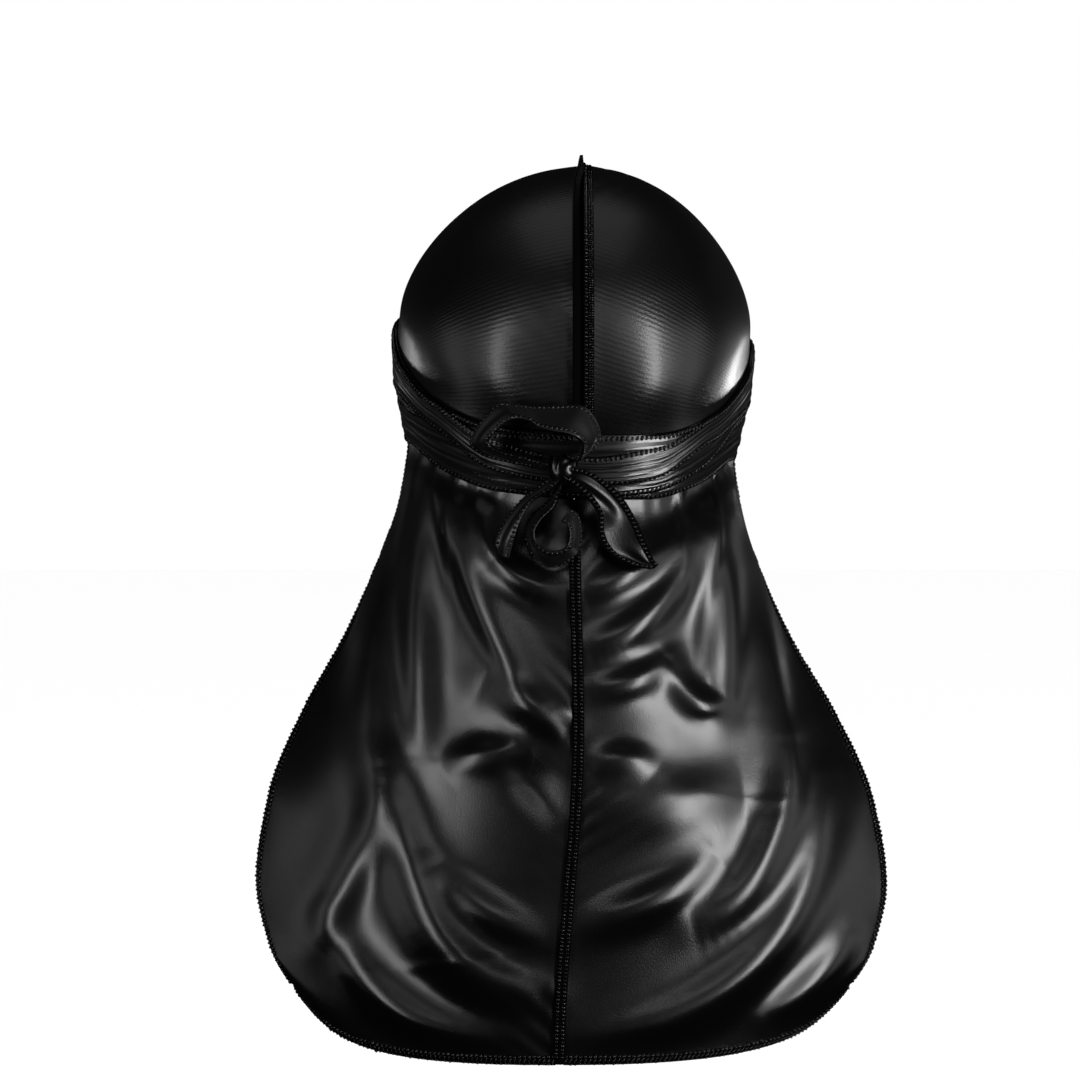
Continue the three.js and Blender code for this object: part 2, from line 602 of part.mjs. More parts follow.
// The knot and the bow sit on the third layer of the band, square to the head
const tie = new THREE.Group();
const seat = formAt(knotTurn, bandAt(knotTurn).middle);
const outward = formNormal(seat);
tie.position.copy(seat).addScaledVector(outward, layerLift(TIE_LAYER));
tie.rotation.set(Math.asin(-outward.z), 0, degToRad(knotTurn), 'ZXY');
tie.add(pieceOf('knot', knot(), satin));
Object.entries(BOW).forEach(([name, piece]) => tie.add(pieceOf(name, bowPiece(piece), satin)));
durag.add(tie);

export default durag;
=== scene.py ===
# %% [markdown]
# # A satin durag, worn and tied
# The real thing is two panels of thin black satin, sewn together down the middle with the seam left
# standing outside, and two long straps that grow out of them at the sides. Worn, the panels make a
# smooth cap and a wide flap down the back. The straps go round the cap over the panels, cross, and end
# in a small bow. Everything here is thin cloth, so nearly every piece is one idea used again: a flat
# grid from `bmesh.ops.create_grid`, laid onto a curved form.

import bmesh
import bpy
import numpy as np
from mathutils import Matrix, Vector


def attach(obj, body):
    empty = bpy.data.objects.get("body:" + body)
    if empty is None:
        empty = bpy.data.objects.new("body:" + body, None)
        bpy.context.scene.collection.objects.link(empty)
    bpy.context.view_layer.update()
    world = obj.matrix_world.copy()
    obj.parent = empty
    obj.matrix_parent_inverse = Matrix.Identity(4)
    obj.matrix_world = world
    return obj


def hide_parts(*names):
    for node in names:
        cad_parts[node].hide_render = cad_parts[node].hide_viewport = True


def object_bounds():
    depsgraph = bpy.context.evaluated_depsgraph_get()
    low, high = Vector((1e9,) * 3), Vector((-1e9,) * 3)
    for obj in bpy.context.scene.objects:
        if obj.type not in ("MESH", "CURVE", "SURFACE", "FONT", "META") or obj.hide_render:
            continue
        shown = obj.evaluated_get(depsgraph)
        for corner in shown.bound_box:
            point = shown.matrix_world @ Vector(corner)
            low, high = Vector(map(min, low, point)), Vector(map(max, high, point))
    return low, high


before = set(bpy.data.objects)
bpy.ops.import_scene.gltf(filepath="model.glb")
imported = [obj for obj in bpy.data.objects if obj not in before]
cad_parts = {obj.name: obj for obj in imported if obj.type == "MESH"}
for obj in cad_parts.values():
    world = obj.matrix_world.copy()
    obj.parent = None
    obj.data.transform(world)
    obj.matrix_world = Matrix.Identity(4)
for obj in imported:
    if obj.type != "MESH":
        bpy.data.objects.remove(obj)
cad_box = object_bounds()
MM = 0.001
HANDS = ((1, "right"), (-1, "left"))
print("CAD nodes:", sorted(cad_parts))

# %% [markdown]
# ## The camera
# The object is seen level, from 2 m behind, with a long lens: that keeps the crown round and the flap
# unforeshortened. The lens follows from how many millimetres one pixel of the picture covers at the
# cap's widest part, so the framing is a measured one and needs no trial and error.

# %% Camera
PICTURE_SIDE = 1080
MM_PER_PIXEL = 0.475
CAMERA_AWAY = 2.0
CAMERA_RIGHT = -15.7 * MM
CAMERA_HEIGHT = -175.9 * MM


def put(name, data):
    """An object in the scene for a mesh, a lamp or a camera."""
    made = bpy.data.objects.new(name, data)
    bpy.context.scene.collection.objects.link(made)
    return made


lens = bpy.data.cameras.new("view_from_behind")
lens.sensor_width = 36
lens.lens = lens.sensor_width * CAMERA_AWAY / (PICTURE_SIDE * MM_PER_PIXEL * MM)
camera = put("view_from_behind", lens)
camera.location = (CAMERA_RIGHT, -CAMERA_AWAY, CAMERA_HEIGHT)
camera.rotation_euler = (np.pi / 2, 0, 0)
bpy.context.scene.camera = camera
print("lens", round(lens.lens, 1), "mm")

# %% [markdown]
# ## Sizes
# A maker starts from the form that the cloth is worn on: its breadth, its depth and how high the crown
# rises over the widest level. The band, the flap and the bow are then given as shares of those few
# lengths, in short tables with a row for each place where the shape changes.

# %% Sizes of the form, the band and the flap
HALF_BREADTH = 82.6 * MM  # all four are from the form's middle, at its widest level
BACK_DEPTH = 96 * MM
FRONT_DEPTH = 99 * MM
CROWN_RISE = 83.3 * MM
LOWER_REACH = 130 * MM
PLAN_POWER = 2.1  # 2 would be an ellipse: more is squarer, less is more pointed
RISE_POWER = 1.92
CROWN_REACH = 0.97  # a panel stops just short of the cap's side, under the straps

BAND_HEIGHT = 54 * MM
BAND_ROLL = 4.5 * MM  # the band sits lower on the right than on the left
FRONT_HEM_DROP = 27 * MM
FLAP_LENGTH = 255 * MM
FLAP_HALF_WIDTH = 147 * MM
HEM_RISE = 29 * MM  # from the hem's middle up to its corners
HEM_POWER = {1: 3.2, -1: 3.7}  # the right corner is the rounder one
SEAM_DRIFT = 7 * MM  # the flap's seam runs down to the left
SEAM_BOW = 0.3
DRIFT_START = 0.35


def table(columns, rows):
    """A table of sections as one array for each named column."""
    return dict(zip(columns.split(), np.array(rows, float).T))


# middle is a share of CROWN_RISE, height of BAND_HEIGHT. azimuth is 0 at the back, in degrees
BAND = table("azimuth middle height", [
    (0, -0.702, 0.54),
    (25, -0.678, 0.56),
    (46, -0.574, 0.61),
    (65, -0.408, 0.7),
    (90, -0.258, 1),
    (135, -0.075, 0.93),
    (180, 0, 0.86),
])

# drop is a share of FLAP_LENGTH, width of FLAP_HALF_WIDTH, back and edge of BACK_DEPTH, arc in degrees
FLAP = table("drop width back edge arc", [
    (0, 0.53, -0.82, -0.02, 86),
    (0.1, 0.55, -0.893, 0, 86),
    (0.2, 0.605, -0.932, 0, 84),
    (0.35, 0.72, -0.99, -0.08, 80),
    (0.5, 0.862, -1.05, -0.23, 75),
    (0.65, 0.965, -1.09, -0.39, 70),
    (0.8, 1, -1.12, -0.53, 66),
    (0.92, 0.955, -1.13, -0.62, 63),
    (1, 0.87, -1.13, -0.66, 60),
    (1.1, 0.7, -1.13, -0.7, 58),  # past the hem, so that the side still slopes inwards there
])


def between(rows, key, column, at):
    """A table's column read between its rows, by cubics that never pass a row's value."""
    x, y = rows[key], rows[column]
    if x[0] > x[-1]:
        x, y = x[::-1], y[::-1]
    secant = np.diff(y) / np.diff(x)
    before, after = secant[:-1], secant[1:]
    smooth = before * after > 0
    slope = np.zeros_like(y)
    slope[1:-1][smooth] = 2 * before[smooth] * after[smooth] / (before + after)[smooth]
    at = np.clip(at, x[0], x[-1])
    i = np.clip(np.searchsorted(x, at) - 1, 0, len(x) - 2)
    span = x[i + 1] - x[i]
    t = (at - x[i]) / span
    ends = y[i] * (1 + 2 * t) * (1 - t) ** 2 + y[i + 1] * t * t * (3 - 2 * t)
    return ends + span * (slope[i] * t * (1 - t) ** 2 - slope[i + 1] * t * t * (1 - t))


def smoothstep(at, low, high):
    """0 before low, 1 past high, and a smooth step between them."""
    t = np.clip((at - low) / (high - low), 0, 1)
    return t * t * (3 - 2 * t)


print("flap", round(2 * FLAP_HALF_WIDTH / MM), "mm wide,", round(FLAP_LENGTH / MM), "mm long")

# %% [markdown]
# ## The form inside
# The cap takes its shape from what it is worn on, so the script works out points of that form and
# builds nothing there. It could be an ellipsoid, but the real outline is a little squarer seen from
# above and a little more pointed seen from behind, so each exponent is a number of its own near 2. Two
# ways to find a point are enough: along a direction from the middle, for the crown, and at an azimuth
# and a height, for everything that runs round it.

# %% Points of the form
def form_size(y, z):
    """Half breadth, depth and height of the form on the side where a point lies."""
    breadth = np.full(np.shape(y), HALF_BREADTH)
    depth = np.where(y < 0, BACK_DEPTH, FRONT_DEPTH)
    rise = np.where(z > 0, CROWN_RISE, LOWER_REACH)
    return np.stack([breadth, depth, rise], -1)


def unit(vectors):
    """The same directions, each one metre long."""
    return vectors / np.maximum(np.linalg.norm(vectors, axis=-1, keepdims=True), 1e-12)


def form_normal(points):
    """The way straight out of the form at points on it."""
    size = form_size(points[..., 1], points[..., 2])
    share = np.maximum(np.abs(points) / size, 1e-9)
    level = share[..., 0] ** PLAN_POWER + share[..., 1] ** PLAN_POWER
    level = level ** (RISE_POWER / PLAN_POWER - 1)
    slopes = np.stack([
        level * share[..., 0] ** (PLAN_POWER - 1),
        level * share[..., 1] ** (PLAN_POWER - 1),
        share[..., 2] ** (RISE_POWER - 1),
    ], -1)
    return unit(np.sign(points) * slopes / size)


def form_toward(direction):
    """The form's point along a direction from its middle."""
    share = np.abs(direction) / form_size(direction[..., 1], direction[..., 2])
    level = share[..., 0] ** PLAN_POWER + share[..., 1] ** PLAN_POWER
    level = level ** (RISE_POWER / PLAN_POWER)
    return direction * ((level + share[..., 2] ** RISE_POWER) ** (-1 / RISE_POWER))[..., None]


def form_at(azimuth, height, lift=0.0):
    """The form's point at an azimuth and a height over its widest level, moved out by lift."""
    azimuth, height, lift = np.broadcast_arrays(np.radians(azimuth), height, lift)
    x, y = np.sin(azimuth), -np.cos(azimuth)
    size = form_size(y, height)
    sideways, lengthways = np.abs(x / size[..., 0]), np.abs(y / size[..., 1])
    plan = (sideways**PLAN_POWER + lengthways**PLAN_POWER) ** (1 / PLAN_POWER)
    share = (1 - np.abs(height / size[..., 2]) ** RISE_POWER) ** (1 / RISE_POWER)
    points = np.stack([x * share / plan, y * share / plan, height], -1)
    return points + form_normal(points) * lift[..., None]


def band_at(azimuth):
    """How high the band's middle lies at an azimuth, and half its height there."""
    turned = np.radians(azimuth)
    folded = np.degrees(np.abs(np.arctan2(np.sin(turned), np.cos(turned))))
    middle = between(BAND, "azimuth", "middle", folded) * CROWN_RISE - BAND_ROLL * np.sin(turned)
    return middle, between(BAND, "azimuth", "height", folded) * BAND_HEIGHT / 2


print("crown top to widest level", CROWN_RISE / MM, "mm")

# %% [markdown]
# ## Laying a grid
# `create_grid` gives a flat square of faces from -1 to 1. Its corners' places are read as two shares,
# `u` across the cloth and `v` along it, and a function of those shares says where that spot of cloth
# lies. The same shares, times the cut size, become the UV map, so a weave keeps its real scale on every
# piece however it is bent. Solidify then gives the sheet its thickness inwards, away from the light.

# %% Helpers that lay a sheet of cloth
def mesh_from(name, bm):
    """A mesh of what a bmesh holds, which is then freed."""
    mesh = bpy.data.meshes.new(name)
    bm.to_mesh(mesh)
    bm.free()
    return mesh


def cloth(name, steps, cut, place, wall, inward=False):
    """A sheet of cloth cut to (width, length) metres, laid by place(u, v)."""
    bm = bmesh.new()
    bmesh.ops.create_grid(bm, x_segments=steps[0], y_segments=steps[1], size=1)
    bm.loops.layers.uv.new("cut")
    mesh = mesh_from(name, bm)
    flat = np.empty(len(mesh.vertices) * 3)
    mesh.vertices.foreach_get("co", flat)
    shares = flat.reshape(-1, 3)[:, :2] / 2 + 0.5
    corners = np.empty(len(mesh.loops), int)
    mesh.loops.foreach_get("vertex_index", corners)
    mesh.uv_layers["cut"].data.foreach_set("uv", (shares[corners] * cut).ravel())
    mesh.vertices.foreach_set("co", place(shares[:, 0], shares[:, 1]).ravel())
    if inward:
        mesh.flip_normals()
    mesh.shade_smooth()
    sheet = put(name, mesh)
    thick = sheet.modifiers.new("wall", "SOLIDIFY")
    thick.thickness = wall
    thick.offset = -1
    thick.material_offset = 1  # the inner face takes the second material, the back of the cloth
    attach(sheet, "root")
    return sheet


# %% [markdown]
# ## Folds
# Satin shows its form only by its folds, so they are drawn one by one: from a start, by way of a
# middle, to an end, in millimetres to the right of the seam and below the band, as seen from behind. A
# fold has its own width on each side of its line, because hanging cloth drops off steeply on one side
# and slopes away on the other. A hollow is a fold of negative height.
# Simulated cloth would fold too, but not in the places where these folds have to lie.

# %% Tables of folds and gathers
FOLDS = table("x0 z0 x1 z1 x2 z2 over under height", [
    # left half, falling from the band
    (-78, 6, -100, -80, -84, -150, 10, 15, 5),
    (-66, 10, -72, -60, -71, -118, 8, 9, 5),
    (-58, 10, -45, -50, -17, -98, 12, 8, 6),
    (-40, 6, -42, -26, -18, -42, 6, 6, 3.5),
    (-34, -28, -20, -42, -3, -43, 6, 9, 3),
    (-42, -84, -20, -96, -4, -104, 9, 10, 4),
    # the long swag at the lower left, with its leg
    (-84, -122, -62, -222, -8, -222, 9, 14, 8),
    (-84, -130, -98, -180, -113, -205, 8, 10, 3.6),
    (-60, -124, -40, -112, -22, -118, 7, 9, 3.5),
    (-34, -116, -20, -126, -6, -148, 9, 8, -3),
    (-60, -166, -40, -190, -8, -199, 8, 8, 4),
    (-106, -190, -80, -245, -20, -246, 8, 9, 5),
    # right half, falling from the band
    (4, -44, 20, -40, 50, -14, 8, 8, 4),
    (5, -68, 36, -62, 60, -10, 8, 9, 5),
    (5, -87, 26, -86, 40, -74, 7, 8, 3.5),
    (40, -74, 52, -104, 64, -92, 7, 6, 3.5),
    (60, 14, 66, -50, 64, -100, 10, 10, 6.5),
    (79, 0, 84, -90, 97, -140, 9, 14, 4.5),
    (5, -122, 20, -114, 34, -124, 7, 9, 3),
    (4, -140, 45, -140, 75, -135, 13, 17, 4),
    (5, -192, 40, -186, 64, -162, 9, 11, 5),
    (56, -192, 92, -182, 96, -112, 9, 13, 6),
    (5, -245, 110, -232, 116, -130, 10, 12, 6),
    (93, -236, 120, -220, 131, -200, 7, 8, 3),
    # creases left by the packet it was sold in
    (-98, -217, -60, -212, -8, -203, 2, 3, 0.25),
    (54, -134, 80, -141, 100, -137, 2, 3, 0.25),
])
FOLD_ENDS = 0.24  # share of its height that a fold keeps at its ends
FOLD_STEPS = 18
FOLD_DEPTH = 1.15  # all folds are this much deeper than the table says

# narrow gathers where the band pinches the cloth: right of the seam, length down, half width, height
GATHER_SLANT = 0.25
GATHER_SCATTER = 7  # spreads the slants, so that neighbours aren't parallel
GATHERS = table("right length half height", [
    (-69, 46, 2.6, 1.5),
    (-62, 26, 2.4, 1.1),
    (-52, 40, 3, 1.5),
    (-44, 22, 2.6, 0.9),
    (-33, 18, 3.4, 0.6),
    (-22, 12, 3, 0.5),
    (20, 10, 4, 0.3),
    (31, 15, 3.4, 0.4),
    (39, 11, 3, 0.4),
    (48, 30, 2.2, 1.1),
    (57, 18, 2.6, 0.9),
    (62, 52, 2.4, 1.5),
    (68, 34, 2.4, 1.4),
    (75, 26, 2.6, 0.9),
])
print(len(FOLDS["x0"]), "folds and", len(GATHERS["right"]), "gathers")

# %% [markdown]
# A fold's line is a smooth curve cut into short straight runs. Each spot of the cloth takes its height
# from the run that lies nearest, by a bell curve that falls off to both sides. The heights of all folds
# are added, so folds that meet run into each other as they do in real satin.

# %% Heights of the folds and gathers
def fold_height(x, z):
    """How far the folds bulge the flap at places seen from behind, in metres from the band's foot."""
    bulge = np.zeros(len(x))
    for row in zip(*FOLDS.values()):
        x0, z0, x1, z1, x2, z2, over, under, height = (value * MM for value in row)
        t = np.linspace(0, 1, FOLD_STEPS + 1)
        line_x = (1 - t) ** 2 * x0 + 2 * t * (1 - t) * x1 + t * t * x2
        line_z = (1 - t) ** 2 * z0 + 2 * t * (1 - t) * z1 + t * t * z2
        nearest = np.full(len(x), np.inf)
        profile = np.zeros(len(x))
        for k in range(FOLD_STEPS):
            run_x, run_z = line_x[k + 1] - line_x[k], line_z[k + 1] - line_z[k]
            off_x, off_z = x - line_x[k], z - line_z[k]
            share = np.clip((off_x * run_x + off_z * run_z) / (run_x**2 + run_z**2), 0, 1)
            far = np.hypot(off_x - share * run_x, off_z - share * run_z)
            aside = (run_x * off_z - run_z * off_x) / np.hypot(run_x, run_z)
            width = under + (over - under) * (1 + aside / np.maximum(far, 1e-9)) / 2
            swell = FOLD_ENDS + (1 - FOLD_ENDS) * np.sin(np.pi * (k + share) / FOLD_STEPS)
            profile = np.where(far < nearest, swell * np.exp(-((far / width) ** 2)), profile)
            nearest = np.minimum(far, nearest)
        bulge += FOLD_DEPTH * height * profile
    return bulge


def gather_height(x, z):
    """The narrow pleats just under the band."""
    bulge = np.zeros(len(x))
    for right, length, half, height in zip(*GATHERS.values()):
        fade = np.exp(-((np.maximum(-z, 0) / (length * MM)) ** 2))
        line = right * MM + GATHER_SLANT * np.sin(GATHER_SCATTER * right) * z
        bulge += height * MM * fade * np.exp(-(((x - line) / (half * MM)) ** 2))
    return bulge


swag = fold_height(np.array([-0.07]), np.array([-0.17]))[0]
print("the long swag stands", round(swag / MM, 1), "mm out")

# %% [markdown]
# ## The two panels
# One panel is a single cloth from the front hem, over the crown, under the band and down to the flap's
# hem. Its columns run from the seam to the side as arcs over the crown, then hang as level sections
# that widen and curl forward. The cloth is laid in three stretches along `v`: the crown, the few rows
# that the band grips, and the flap.

# %% The crown and the part under the band
PANEL_WALL = 0.5 * MM
PANEL_LIFT = 1.0 * MM
SEAM_GAP = 0.4 * MM
CROWN_ROWS = 170
GRIP_ROWS = 8
FLAP_ROWS = 170
all_rows = CROWN_ROWS + GRIP_ROWS + FLAP_ROWS
flap_start = (CROWN_ROWS + GRIP_ROWS) / all_rows
PANEL_COLUMNS = 120
PANEL_CUT = (0.165, 0.62)


def seam_shift(down):
    """How far right of the centre the flap's seam stands at a share of the flap's length."""
    return SEAM_DRIFT * (SEAM_BOW * np.sin(np.pi * down) ** 2 - smoothstep(down, DRIFT_START, 1))


def turn_of(point):
    """The turn over the crown of a point of the middle plane, from the back level through the top."""
    turn = np.arctan2(point[2], -point[1])
    return turn + 2 * np.pi if point[1] > 0 and turn < 0 else turn


def crown_point(side, across, turn):
    """A place on the cap, across from the seam to the side, at a turn over the crown."""
    beside = unit(form_at(side * 90, band_at(side * 90)[0]))
    ridge = np.stack([np.zeros_like(turn), -np.cos(turn), np.sin(turn)], -1)
    apart = np.arccos(np.clip(ridge @ beside, -1, 1))[:, None]
    share = CROWN_REACH * across[:, None]
    return form_toward(ridge * np.sin((1 - share) * apart) + beside * np.sin(share * apart))


front_turn = turn_of(form_at(180, -FRONT_HEM_DROP))
back_turn = turn_of(form_at(0, band_at(0)[0]))


def rim_point(side, across, foot_share):
    """A place under the band, from its middle down to its foot."""
    start = crown_point(side, across, np.full(len(across), back_turn))
    azimuth = np.degrees(np.arctan2(start[:, 0], -start[:, 1]))
    middle, half = band_at(azimuth)
    height = start[:, 2] + (middle - half - start[:, 2]) * foot_share
    return form_at(azimuth, height)


print("the crown's cloth turns through", round(np.degrees(front_turn - back_turn)), "degrees")

# %% [markdown]
# ### The hanging flap
# Each level section of the flap is part of an ellipse, wider and deeper from row to row of its table.
# The folds then push the cloth straight out of that smooth form. They fade where something holds the
# cloth flat: under the band, along the stitched hems and at the seam.

# %% The flap
GRIP_REACH = 0.05
ACROSS_STEP = 0.01  # shares of the width on both sides, from which the way across the cloth is read
FACING_BACK = 0.02  # nearer the seam than this share of the width, folds rise straight back
CALM_SIDE = (0.86, 0.75)  # from this share of the width outwards, folds lose up to that share
CALM_HEM = (0.93, 0.6)  # the same down to the hem


def flap_section(across, down):
    """Right and back of a level section of the hanging flap before its folds."""
    arc = np.radians(between(FLAP, "drop", "arc", down))
    swing = (1 - np.cos(across * arc)) / (1 - np.cos(arc))
    back, edge = (between(FLAP, "drop", column, down) for column in ("back", "edge"))
    width = between(FLAP, "drop", "width", down) * FLAP_HALF_WIDTH
    return width * np.sin(across * arc) / np.sin(arc), (back + (edge - back) * swing) * BACK_DEPTH


def flap_point(side, across, down):
    """A place on the hanging flap, folds and gathers included."""
    foot = rim_point(1, np.zeros(1), 1.0)[0, 2]

    def hang(share):
        start = rim_point(side, share, 1.0)
        x, y = flap_section(share, down)
        x_top, y_top = flap_section(share, np.zeros_like(down))
        hem = foot - FLAP_LENGTH + HEM_RISE * share ** HEM_POWER[side]
        right = start[:, 0] + side * (x - x_top) + seam_shift(down) * (1 - share) ** 2
        return np.stack([right, start[:, 1] + y - y_top, start[:, 2] + down * (hem - start[:, 2])], -1)

    plain = hang(across)
    run = hang(np.minimum(across + ACROSS_STEP, 1)) - hang(np.maximum(across - ACROSS_STEP, 0))
    outward = unit(np.stack([side * run[:, 1], -side * run[:, 0], np.zeros(len(run))], -1))
    seam = np.exp(-((across / FACING_BACK) ** 2))[:, None]
    outward = unit(outward * (1 - seam) + np.array([0, -1, 0]) * seam)
    drawn = plain[:, 0] - seam_shift(down)
    grip = smoothstep(down, 0, GRIP_REACH)
    edge = 1 - CALM_SIDE[1] * smoothstep(across, CALM_SIDE[0], 1)
    hem = 1 - CALM_HEM[1] * smoothstep(down, CALM_HEM[0], 1)
    bulge = grip * edge * hem * fold_height(drawn, plain[:, 2] - foot)
    bulge += gather_height(drawn, plain[:, 2] - rim_point(side, across, 1.0)[:, 2])
    return plain + outward * bulge[:, None]


lowest = flap_point(1, np.zeros(1), np.ones(1))[0, 2] - CROWN_RISE
print("the flap ends", round(-lowest / MM), "mm under the crown's top")

# %% [markdown]
# ### Small relief of the cap
# The cap isn't quite smooth either. The tight band makes it swell out just above, and the sewn seam
# draws the cloth up and puckers it. Both are a millimetre or two, and only the gloss shows them.

# %% Swell and puckers
CAP_SWELL = 2.2 * MM
SWELL_AZIMUTHS = (6, 24, 68, 94)  # degrees at which it starts, is full, starts to fade and ends
SWELL_PEAK = 24 * MM
SWELL_END = 62 * MM
SEAM_DRAW = 0.5 * MM
SEAM_DRAW_REACH = 0.035
SEAM_DIP_REACH = 0.004  # right at the seam the cloth turns in again
SEAM_PUCKER = 0.5 * MM
PUCKER_REACH = 0.07
PUCKER_START = 0.01
PUCKER_COUNT = 44
PUCKER_SLANT = 0.3
PUCKER_WANDER = (2.2, 31)  # how far the puckers leave an even pitch, and how often, in radians
PUCKER_PATCHES = 23  # they come in patches, and are nearly flat between them
PUCKER_LEAST = 0.1


def cap_swell(points):
    """How far the cap swells out over the band at places on it."""
    azimuth = np.degrees(np.arctan2(points[:, 0], -points[:, 1]))
    middle, half = band_at(azimuth)
    above = points[:, 2] - middle - half
    start, full, fading, end = SWELL_AZIMUTHS
    aside = smoothstep(np.abs(azimuth), start, full) * (1 - smoothstep(np.abs(azimuth), fading, end))
    rising = smoothstep(above, 0, SWELL_PEAK) * (1 - smoothstep(above, SWELL_PEAK, SWELL_END))
    return CAP_SWELL * aside * rising


def seam_draw(across):
    """How much of its full rise the cloth has at a share of the way from the seam to the side."""
    return np.exp(-((across / SEAM_DRAW_REACH) ** 2)) - np.exp(-((across / SEAM_DIP_REACH) ** 2))


def seam_pucker(side, across, along):
    """The height of the puckers beside the seam."""
    beside = np.exp(-across / PUCKER_REACH) * smoothstep(across, 0, PUCKER_START)
    calm = np.maximum(np.sin(PUCKER_PATCHES * along + 2 * side), PUCKER_LEAST)
    far, often = PUCKER_WANDER
    wave = 2 * np.pi * PUCKER_COUNT * (along + PUCKER_SLANT * across) + far * np.sin(often * along)
    return SEAM_PUCKER * beside * calm * np.sin(wave)


print("puckers lie", round(PANEL_CUT[1] / PUCKER_COUNT / MM), "mm apart")

# %% [markdown]
# ### Laying both panels
# One function now gives a panel's places from its shares, and both panels use it, on their own sides.
# The columns at the seam meet with a small gap, so the two sheets never share a place.

# %% Lay the panels
CROWN_DRIFT = 4.5 * MM  # the cap sits a little turned, so its seam stands right of the middle
DRIFT_SPAN = (0.15, 0.5)  # shares of the way over the crown between which the seam moves there


def panel_place(side):
    """The places of one panel's cloth: across from the seam, and v from the front hem to the flap's."""
    def place(across, v):
        row = v * all_rows
        on_crown = np.clip(row / CROWN_ROWS, 0, 1)
        in_grip = np.clip((row - CROWN_ROWS) / GRIP_ROWS, 0, 1)
        down = np.clip((row - CROWN_ROWS - GRIP_ROWS) / FLAP_ROWS, 0, 1)
        points = crown_point(side, across, front_turn + (back_turn - front_turn) * on_crown)
        under = in_grip > 0
        points[under] = rim_point(side, across[under], in_grip[under])
        hanging = down > 0
        points[hanging] = flap_point(side, across[hanging], down[hanging])
        drift = CROWN_DRIFT * smoothstep(on_crown, *DRIFT_SPAN) * (1 - smoothstep(in_grip, 0, 1))
        points[:, 0] += drift * (1 - across) ** 2
        at_seam = across < 1e-6
        points[at_seam, 0] = (seam_shift(down) + drift)[at_seam] + side * SEAM_GAP / 2
        lift = form_normal(points)
        lift[hanging] = unit(points[hanging] * np.array([1, 1, 0]))
        lift[at_seam, 0] = 0
        drawn_up = SEAM_DRAW * seam_draw(across) * (1 - smoothstep(in_grip, 0, 0.5))
        relief = drawn_up + seam_pucker(side, across, v) + cap_swell(points)
        points = points + lift * (PANEL_LIFT + relief)[:, None]
        points[:, 2] -= CROWN_RISE
        return points

    return place


panels = {}
for side, hand in HANDS:
    panels[hand] = cloth(
        f"panel_{hand}_satin",
        (PANEL_COLUMNS, all_rows),
        PANEL_CUT,
        panel_place(side),
        PANEL_WALL,
        inward=side > 0,
    )
    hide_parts(f"panel_{hand}")
    print(panels[hand].name, len(panels[hand].data.vertices), "corners")

# %% [markdown]
# ## The straps
# Each strap grows out of its panel at the side, passes round the back, on round the front and back to
# the knot, so the back of the band is three cloths deep. A table gives the strap's place and width in
# the band as it goes round, so that one grid can follow the whole way.

# %% The way of the straps
# turn is the azimuth on the strap's own side. place is a share of half the band, width of the band's
# height, and the last two are the layer in which the strap that crosses on top, or the other, lies
STRAP = table("turn place width outer inner", [
    (116, 0.5, 0.48, 1, 1),
    (90, 0.5, 0.48, 1, 1),
    (68, 0.5, 0.48, 2, 1),
    (46, 0.25, 0.73, 2, 1),
    (25, 0.1, 0.88, 2, 1),
    (0, 0, 0.96, 2, 1),
    (-25, -0.1, 0.88, 2, 1),
    (-46, -0.25, 0.73, 2, 1),
    (-68, -0.5, 0.48, 2, 1),
    (-90, -0.5, 0.48, 1, 1),
    (-125, -0.5, 0.48, 1, 1),
    (-150, -0.5, 0.48, 2, 1),
    (-180, 0, 0.6, 2, 1),
    (-210, 0.5, 0.48, 2, 1),
    (-235, 0.5, 0.48, 2, 2),
    (-270, 0.48, 0.48, 2, 2),
    (-292, 0.56, 0.4, 3, 3),
    (-314, 0.62, 0.35, 3, 3),
    (-335, 0.12, 0.46, 3, 3),
    (-356.5, -0.1, 0.38, 3, 3),
])
KNOT_SHIFT = -5.5 * MM
knot_turn = np.degrees(np.arcsin(KNOT_SHIFT / BACK_DEPTH))
print("a strap makes", round((STRAP["turn"][0] - STRAP["turn"][-1]) / 360, 2), "turns")

# %% [markdown]
# ### Pleats
# The band pulls the satin tight along the strap and lets it gather across, so long shallow pleats run
# along it and wander a little. They are a sum of a few waves of sharp ridges. The strap's edges, stiff
# with thread, stay flat and turn down.

# %% Wind the straps
STRAP_WALL = 0.4 * MM
STRAP_LAYER = 0.75 * MM
STRAP_STEPS = (44, 560)
STRAP_CUT = (0.028, 0.8)
PLEAT_HEIGHT = 0.36 * MM
PLEAT_PHASE = 0.3  # starts each wave of pleats at a place of its own
PLEAT_FADE = 4  # the higher this power, the nearer to the edges the pleats reach
EDGE_TURN = 0.3 * MM
EDGE_START = 0.86

# waves of the pleats: how many across, how far each wanders, and how often along the strap
PLEATS = table("count wander along share", [
    (2.2, 0.2, 2.3, 0.8),
    (5.3, 0.35, 3.1, 0.7),
    (9.1, 0.5, 4.3, 0.45),
    (15.7, 0.7, 7.7, 0.22),
])


